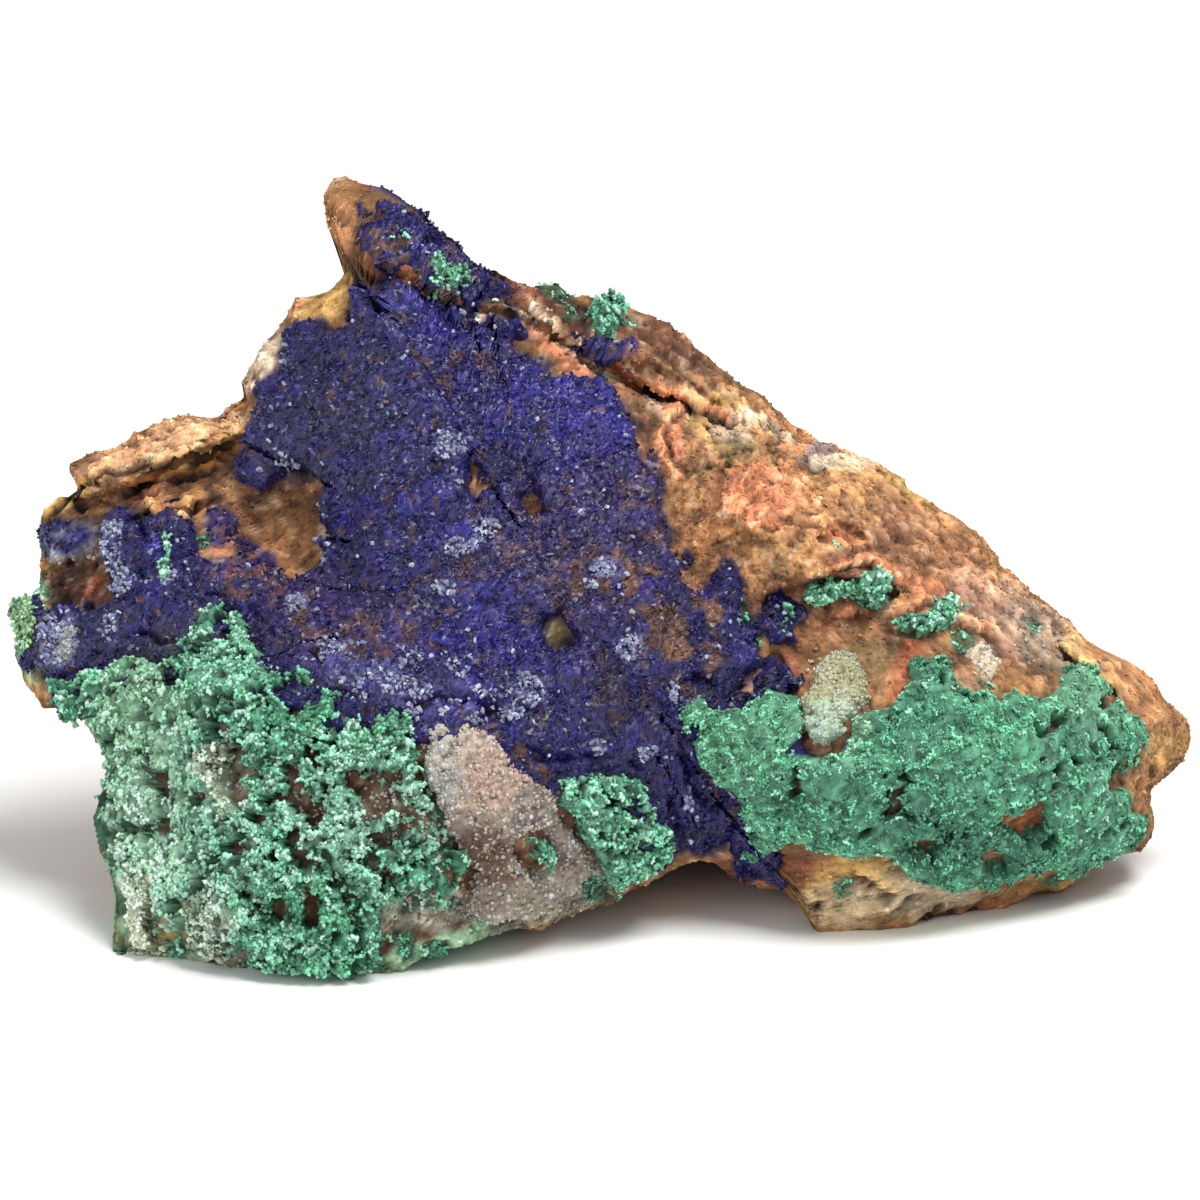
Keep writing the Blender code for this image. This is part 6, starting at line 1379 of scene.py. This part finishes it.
def build_pale_crystals(bed, material):
    """Small pale crystals in clusters on the azurite, and a scatter of them along its lower border."""
    rng = np.random.default_rng(420)
    clusters = patch_seats(bed["points"], bed["places"], PALE_CLUSTERS, PALE_DENSITY, rng)
    clumped = smooth(layered_grain(bed["points"], 0.9, 2, 421), 0.0, 0.3)
    dust = pick_seats(bed, DUST_COUNT, 0.0, rng, (zone(bed["places"], DUSTED) + 0.03) * clumped)
    centres, normals, _ = seats_on(bed, np.concatenate([clusters, dust]))
    centres = centres + normals * 0.12
    count = len(centres)
    points, faces = blades(centres, normals, sizes_of(count, PALE_SIZE, 0.3, rng), 0.8, rng)
    colour = blend(plain("mist", centres), "lilac", rng.uniform(0.0, 0.8, count))
    colour = blend(colour, "frost", (rng.random(count) < 0.3) * 0.8)
    colour = colour * rng.uniform(0.75, 1.1, count)[:, None]
    make_piece("pale_crystals", points, faces, repeated(colour, BLOCK), material, False)


# ---------------- malachite

BEADS = 3  # grains in each curl
MALACHITE_STEP, MALACHITE_BORDER = 0.135, 0.35  # side of its sheets' cells, and width of their borders
SPECK_CURLS = 5.0  # curls to the square millimetre of a speck
CALM_SIDE = [(-30.7, 13.9, 3.4, 11.5, 4)]  # where the malachite is smoother
SMALL_NODES = [
    "malachite_middle_crust", "malachite_front_tuft", "malachite_peak_tuft", "malachite_ridge_tuft",
    "malachite_crest_tuft", "malachite_brow_tuft", "malachite_slope_tuft", "malachite_hollow_tuft",
    "malachite_edge_crust", "malachite_streak",
]


def curly_relief(points, places):
    """Winding ridges and grains with deep gaps between them, calmer towards the left side."""
    calm = zone(places, CALM_SIDE)
    warped = points + 0.2 * grain(points / 0.6, 402)[:, None]
    lively = 0.26 * worms(warped, 0.5, 403) + 0.2 * domes(points, 0.5, 404)
    return 0.12 * grain(points / 2.2, 401) + lively * (1.0 - 0.5 * calm)


def velvet_relief(points, places):
    """Fine crowded grains with a faint winding pattern."""
    return 0.1 * grain(points / 3.0, 411) + 0.1 * worms(points, 0.4, 412) + 0.16 * domes(points, 0.42, 413)


def malachite_colour(points, places, height, seed):
    """Green, mottled pale and deep; painted shade, nearly black-green, in its gaps and a minty painted
    highlight on its tops.
    """
    colour = patchy(plain("jade", points), "mint", 0.35, points, (1.6, 3, seed + 1), (0.1, 0.9))
    colour = patchy(colour, "fern", 0.5, points, (2.6, 3, seed + 2), (0.1, 0.9))
    colour = stained(colour, points, places, MALACHITE_STAINS, 600)
    colour = colour * (1.0 + 0.3 * layered_grain(points, 0.45, 2, seed + 4))[:, None]
    # Painted highlight on the tops and painted shade in the gaps, by the height of the relief.
    colour = blend(colour, "pale mint", 0.3 * smooth(height, 0.6, 1.2))
    return blend(colour, "gap", 0.85 * smooth(-height, -0.15, 0.8))


def build_malachite(name, specks, material, nodes, ragged, open_above, relief_of, deepest, radius, count,
                    pale, seed):
    """A grained sheet and curls of grains on its ridges, a share of them pale, and more on the specks.

    deepest is the relief that counts as 1 for the colour, radius a grain's, and count the number of curls.
    """
    bed = crust_bed(nodes, MALACHITE_STEP, MALACHITE_BORDER, ragged, open_above, relief_of, seed)
    height = bed["relief"] / deepest
    colour = malachite_colour(bed["points"], bed["places"], height, seed)
    build_bed(name + "_bed", bed, colour, material, nodes)
    rng = np.random.default_rng(seed + 20)
    seats = pick_seats(bed, count, -0.05, rng, 0.15 + smooth(height, 0.0, 1.0))
    at, normals, places = seats_on(bed, seats, specks)
    radii = radius * rng.uniform(0.65, 1.3, len(at))
    centres, outward = curls(at, normals, radii, BEADS, rng)
    sizes = np.tile(radii, BEADS)[:, None] * rng.uniform(0.8, 1.35, (len(centres), 3))
    points, faces = dented(CHIP, CHIP_FACES, centres, outward, sizes, rng)
    colour = malachite_colour(at, places, rng.uniform(0.2, 0.8, len(at)), seed)
    colour = colour * rng.uniform(0.8, 1.25, (len(at), 1))
    colour = blend(colour, "pale mint", (rng.random(len(at)) < pale) * 0.6)
    colour = np.tile(colour, (BEADS, 1)) * rng.uniform(0.88, 1.12, (len(centres), 1))
    lit = tops_lit(points, centres, outward, 0.3)
    make_piece(name + "_grains", points, faces, shaded(repeated(colour, CHIP), lit, 1.0), material)


MALACHITES = {
    "malachite_left": dict(
        nodes=["malachite_left_crust"], ragged=0.4, open_above=0.38, relief_of=curly_relief, deepest=0.4,
        radius=0.19, count=2800, pale=0.26, seed=600,
    ),
    "malachite_right": dict(
        nodes=["malachite_right_crust"], ragged=0.45, open_above=0.8, relief_of=velvet_relief, deepest=0.55,
        radius=0.13, count=3200, pale=0.03, seed=680,
    ),
    "malachite_small": dict(
        nodes=SMALL_NODES, ragged=0.3, open_above=0.62, relief_of=curly_relief, deepest=0.4,
        radius=0.17, count=1000, pale=0.12, seed=640,
    ),
}


def build_malachites(rock, material):
    """All the malachite. The specks on bare rock go with the small crusts."""
    specks = rock_seats(rock, MALACHITE_SPECKS, SPECK_CURLS, np.random.default_rng(660))
    for name, values in MALACHITES.items():
        build_malachite(name, specks if name == "malachite_small" else None, material, **values)


# ---------------- pale druse

DRUSE_NODES = ["pale_front_druse", "pale_left_druse", "pale_right_druse", "pale_slope_crystal"]
DRUSE_COUNT, DRUSE_SIZE = 2000, (0.19, 0.19, 0.16)  # grains on the sheet, and their half sizes
SPECK_GRAINS = 3.0  # grains to the square millimetre of a speck


def druse_relief(points, places):
    """Waves under small round grains and broken faces."""
    waves = 0.12 * layered_grain(points, 1.2, 3, 501)
    return waves + 0.18 * domes(points, 0.45, 503) + 0.14 * chips(points, 0.7, 505)


def druse_colour(points, places, height, seed):
    """Pinkish grey with paler grains, and umber in its low gaps for brown matrix and painted shade."""
    colour = stained(plain("pink grey", points), points, places, DRUSE_STAINS, seed)
    colour = patchy(colour, "bone", 0.45, points, (0.7, 3, seed + 1), (0.2, 0.9))
    # Umber where the relief lies low: brown matrix and painted shade in the gaps.
    return blend(colour, "umber", 0.8 * smooth(-height, 0.2, 1.0))


def build_druse(rock, material):
    """The druse's sheet with fine grains on it, and pale grains on the brown matrix about it."""
    bed = crust_bed(
        DRUSE_NODES, step=0.15, border=0.5, ragged=0.3, open_above=2.0, relief_of=druse_relief, seed=500
    )
    colour = druse_colour(bed["points"], bed["places"], bed["relief"] / 0.2, 511)
    build_bed("druse_bed", bed, colour, material, DRUSE_NODES)
    rng = np.random.default_rng(520)
    seats = pick_seats(bed, DRUSE_COUNT, -0.2, rng, 0.5 + (bed["depth"] < 0.5))
    centres, normals, places = seats_on(bed, seats, rock_seats(rock, PALE_SPECKS, SPECK_GRAINS, rng))
    count = len(centres)
    points, faces = dented(CHIP, CHIP_FACES, centres, normals, sizes_of(count, DRUSE_SIZE, 0.35, rng), rng)
    colour = druse_colour(centres, places, np.zeros(count), 511)
    colour = blend(colour, "bone", rng.uniform(0.0, 0.9, count))
    colour = blend(colour, "frost", (rng.random(count) < 0.1) * 0.8)
    make_piece("druse_grains", points, faces, repeated(colour, CHIP), material)


# ---------------- materials

GRAIN_INPUTS = {  # what the shared effect is given: Features are counted to the metre, Relief is in metres
    "Features": 4000.0, "Speckle": 0.8, "Chips": 0.3, "Tilt": 0.4, "Relief": 0.1 * MM, "Gloss": 0.4,
    "Dull": 0.8,
}
MINERALS = {  # (specular, then one value for each of GRAIN_INPUTS)
    "limonite_rock": (0.25, 3400.0, 1.1, 0.28, 0.4, 0.16 * MM, 0.7, 0.95),
    "azurite": (0.5, 4300.0, 0.8, 0.5, 0.6, 0.04 * MM, 0.25, 0.6),
    "malachite": (0.35, 4300.0, 0.9, 0.25, 0.3, 0.1 * MM, 0.6, 0.9),
    "pale_druse": (0.5, 4600.0, 0.7, 0.3, 0.5, 0.08 * MM, 0.35, 0.75),
}


def add(nodes, kind, operation=None, **values):
    """A node of a kind, its operation and the values of the inputs named with _ for each space."""
    node = nodes.new("ShaderNode" + kind)
    if operation:
        node.operation = operation
    for name, value in values.items():
        node.inputs[name.replace("_", " ")].default_value = value
    return node


def wire(links, wires):
    """Joins nodes: each wire runs from an output of one node to an input of another."""
    for source, output, target, entry in wires:
        links.new(source.outputs[output], target.inputs[entry])


def grain_group():
    """Shared effect: speckle and facets over a tint, gloss by facet, and a fine bump with leaning facets."""
    group = bpy.data.node_groups.new("mineral grain", "ShaderNodeTree")
    group.interface.new_socket("Tint", in_out="INPUT", socket_type="NodeSocketColor")
    for label, value in GRAIN_INPUTS.items():
        group.interface.new_socket(label, in_out="INPUT", socket_type="NodeSocketFloat").default_value = value
    for label, kind in [("Colour", "Color"), ("Roughness", "Float"), ("Normal", "Vector")]:
        group.interface.new_socket(label, in_out="OUTPUT", socket_type="NodeSocket" + kind)
    nodes, links = group.nodes, group.links
    given, result = nodes.new("NodeGroupInput"), nodes.new("NodeGroupOutput")
    place, parts = add(nodes, "TexCoord"), add(nodes, "SeparateColor")
    fine, chip = add(nodes, "TexNoise", Detail=4.0, Roughness=0.7), add(nodes, "TexVoronoi")
    noise_off, chip_off = add(nodes, "Math", "SUBTRACT"), add(nodes, "Math", "SUBTRACT")
    speckle, tone = add(nodes, "Math", "MULTIPLY_ADD"), add(nodes, "Math", "MULTIPLY_ADD")
    lit, leaned = add(nodes, "VectorMath", "SCALE"), add(nodes, "VectorMath", "SCALE")
    middle, turned = add(nodes, "VectorMath", "SUBTRACT"), add(nodes, "VectorMath", "ADD")
    unit, rough, raised = add(nodes, "VectorMath", "NORMALIZE"), add(nodes, "MapRange"), add(nodes, "Bump")
    for node in (noise_off, chip_off):
        node.inputs[1].default_value = 0.5
    speckle.inputs[2].default_value = 1.0
    middle.inputs[1].default_value = (0.5, 0.5, 0.5)
    wire(links, [
        (place, "Object", fine, "Vector"), (place, "Object", chip, "Vector"),
        (given, "Features", fine, "Scale"), (given, "Features", chip, "Scale"),
        (chip, "Color", parts, "Color"), (fine, "Fac", noise_off, 0), (parts, "Red", chip_off, 0),
        (noise_off, 0, speckle, 0), (given, "Speckle", speckle, 1),
        (chip_off, 0, tone, 0), (given, "Chips", tone, 1), (speckle, 0, tone, 2),
        (given, "Tint", lit, 0), (tone, 0, lit, "Scale"), (lit, "Vector", result, "Colour"),
        (parts, "Green", rough, "Value"), (given, "Gloss", rough, "To Min"), (given, "Dull", rough, "To Max"),
        (rough, "Result", result, "Roughness"),
        (fine, "Fac", raised, "Height"), (given, "Relief", raised, "Distance"),
        (chip, "Color", middle, 0), (middle, "Vector", leaned, 0), (given, "Tilt", leaned, "Scale"),
        (raised, "Normal", turned, 0), (leaned, "Vector", turned, 1), (turned, "Vector", unit, 0),
        (unit, "Vector", result, "Normal"),
    ])
    return group


def mineral(name, group, specular, *values):
    """A mineral's material: the tint of its points, speckled and faceted by the shared grain."""
    material = bpy.data.materials.new(name)
    material.use_nodes = True
    nodes = material.node_tree.nodes
    shader = nodes["Principled BSDF"]
    shader.inputs["Specular IOR Level"].default_value = specular
    tint = nodes.new("ShaderNodeAttribute")
    tint.attribute_name = "tint"
    grained = nodes.new("ShaderNodeGroup")
    grained.node_tree = group
    for label, value in zip(GRAIN_INPUTS, values):
        grained.inputs[label].default_value = value
    wire(material.node_tree.links, [
        (tint, "Color", grained, "Tint"), (grained, "Colour", shader, "Base Color"),
        (grained, "Roughness", shader, "Roughness"), (grained, "Normal", shader, "Normal"),
    ])
    return material


def make_materials():
    """The specimen's four materials by name."""
    group = grain_group()
    return {name: mineral(name, group, *values) for name, values in MINERALS.items()}


# ---------------- studio

CAMERA_DISTANCE = 1.0  # in metres, as are the places below
SENSOR = 36.0  # width of the camera's sensor, in millimetres
VIEW_WIDTH = 81.2 * MM  # width of what the camera frames
VIEW_CENTRE = (-0.2, 26.1)  # on the plane of the crystal face
LIGHTS = [  # (name, place, size, power, colour)
    ("key", (0.25, -0.15, 0.75), 0.35, 6.5, (1.0, 0.985, 0.96)),
    ("fill", (-0.6, -0.6, 0.35), 0.6, 2.3, (1.0, 1.0, 1.0)),
]
AMBIENT = 0.45
FLOOR_HALF = 3.0
FLOOR_COLOUR = (0.93, 0.93, 0.93, 1.0)


def light(name, place, size, power, colour):
    """A square lamp turned towards the specimen."""
    lamp = bpy.data.lights.new(name, "AREA")
    lamp.size = size
    lamp.energy = power
    lamp.color = colour
    holder = bpy.data.objects.new(name, lamp)
    holder.location = place
    x, y, z = place
    holder.rotation_euler = (math.atan2(math.hypot(x, y), z), 0.0, math.atan2(x, -y))
    bpy.context.scene.collection.objects.link(holder)


def build_floor():
    """A wide pale floor, staged and not part of the specimen."""
    mesh = bpy.data.meshes.new("floor")
    corners = [(-FLOOR_HALF, -FLOOR_HALF, 0), (FLOOR_HALF, -FLOOR_HALF, 0), (FLOOR_HALF, FLOOR_HALF, 0),
               (-FLOOR_HALF, FLOOR_HALF, 0)]
    mesh.from_pydata(corners, [], [(0, 1, 2, 3)])
    paint = bpy.data.materials.new("floor")
    paint.use_nodes = True
    shader = paint.node_tree.nodes["Principled BSDF"]
    shader.inputs["Base Color"].default_value = FLOOR_COLOUR
    shader.inputs["Roughness"].default_value = 0.9
    mesh.materials.append(paint)
    floor = bpy.data.objects.new("floor", mesh)
    bpy.context.scene.collection.objects.link(floor)


def build_camera():
    """A camera square to the crystal face, so far off that it frames VIEW_WIDTH."""
    target = settle(stand_up(np.array([[*VIEW_CENTRE, 0.0]])))[0]
    back = np.array([0.0, -math.cos(LEAN), math.sin(LEAN)])
    camera = bpy.data.cameras.new("camera")
    camera.sensor_width = SENSOR
    camera.lens = SENSOR * CAMERA_DISTANCE / VIEW_WIDTH
    camera.clip_end = 10.0
    holder = bpy.data.objects.new("camera", camera)
    holder.location = target * MM + back * CAMERA_DISTANCE
    holder.rotation_euler = (math.pi / 2.0 - LEAN, 0.0, 0.0)
    bpy.context.scene.collection.objects.link(holder)
    bpy.context.scene.camera = holder


def build_studio():
    """White surroundings, the lamps, the floor and the camera."""
    scene = bpy.context.scene
    scene.view_settings.view_transform = "Standard"
    world = bpy.data.worlds.new("studio")
    world.use_nodes = True
    backdrop = world.node_tree.nodes["Background"]
    backdrop.inputs["Color"].default_value = (1.0, 1.0, 1.0, 1.0)
    backdrop.inputs["Strength"].default_value = AMBIENT
    scene.world = world
    for values in LIGHTS:
        light(*values)
    build_floor()
    build_camera()


def main():
    """Builds the dressed specimen and its studio."""
    materials = make_materials()
    rock = build_rock(materials["limonite_rock"])
    bed = build_azurite(rock, materials["azurite"])
    build_pale_crystals(bed, materials["pale_druse"])
    build_malachites(rock, materials["malachite"])
    build_druse(rock, materials["pale_druse"])
    build_studio()


main()
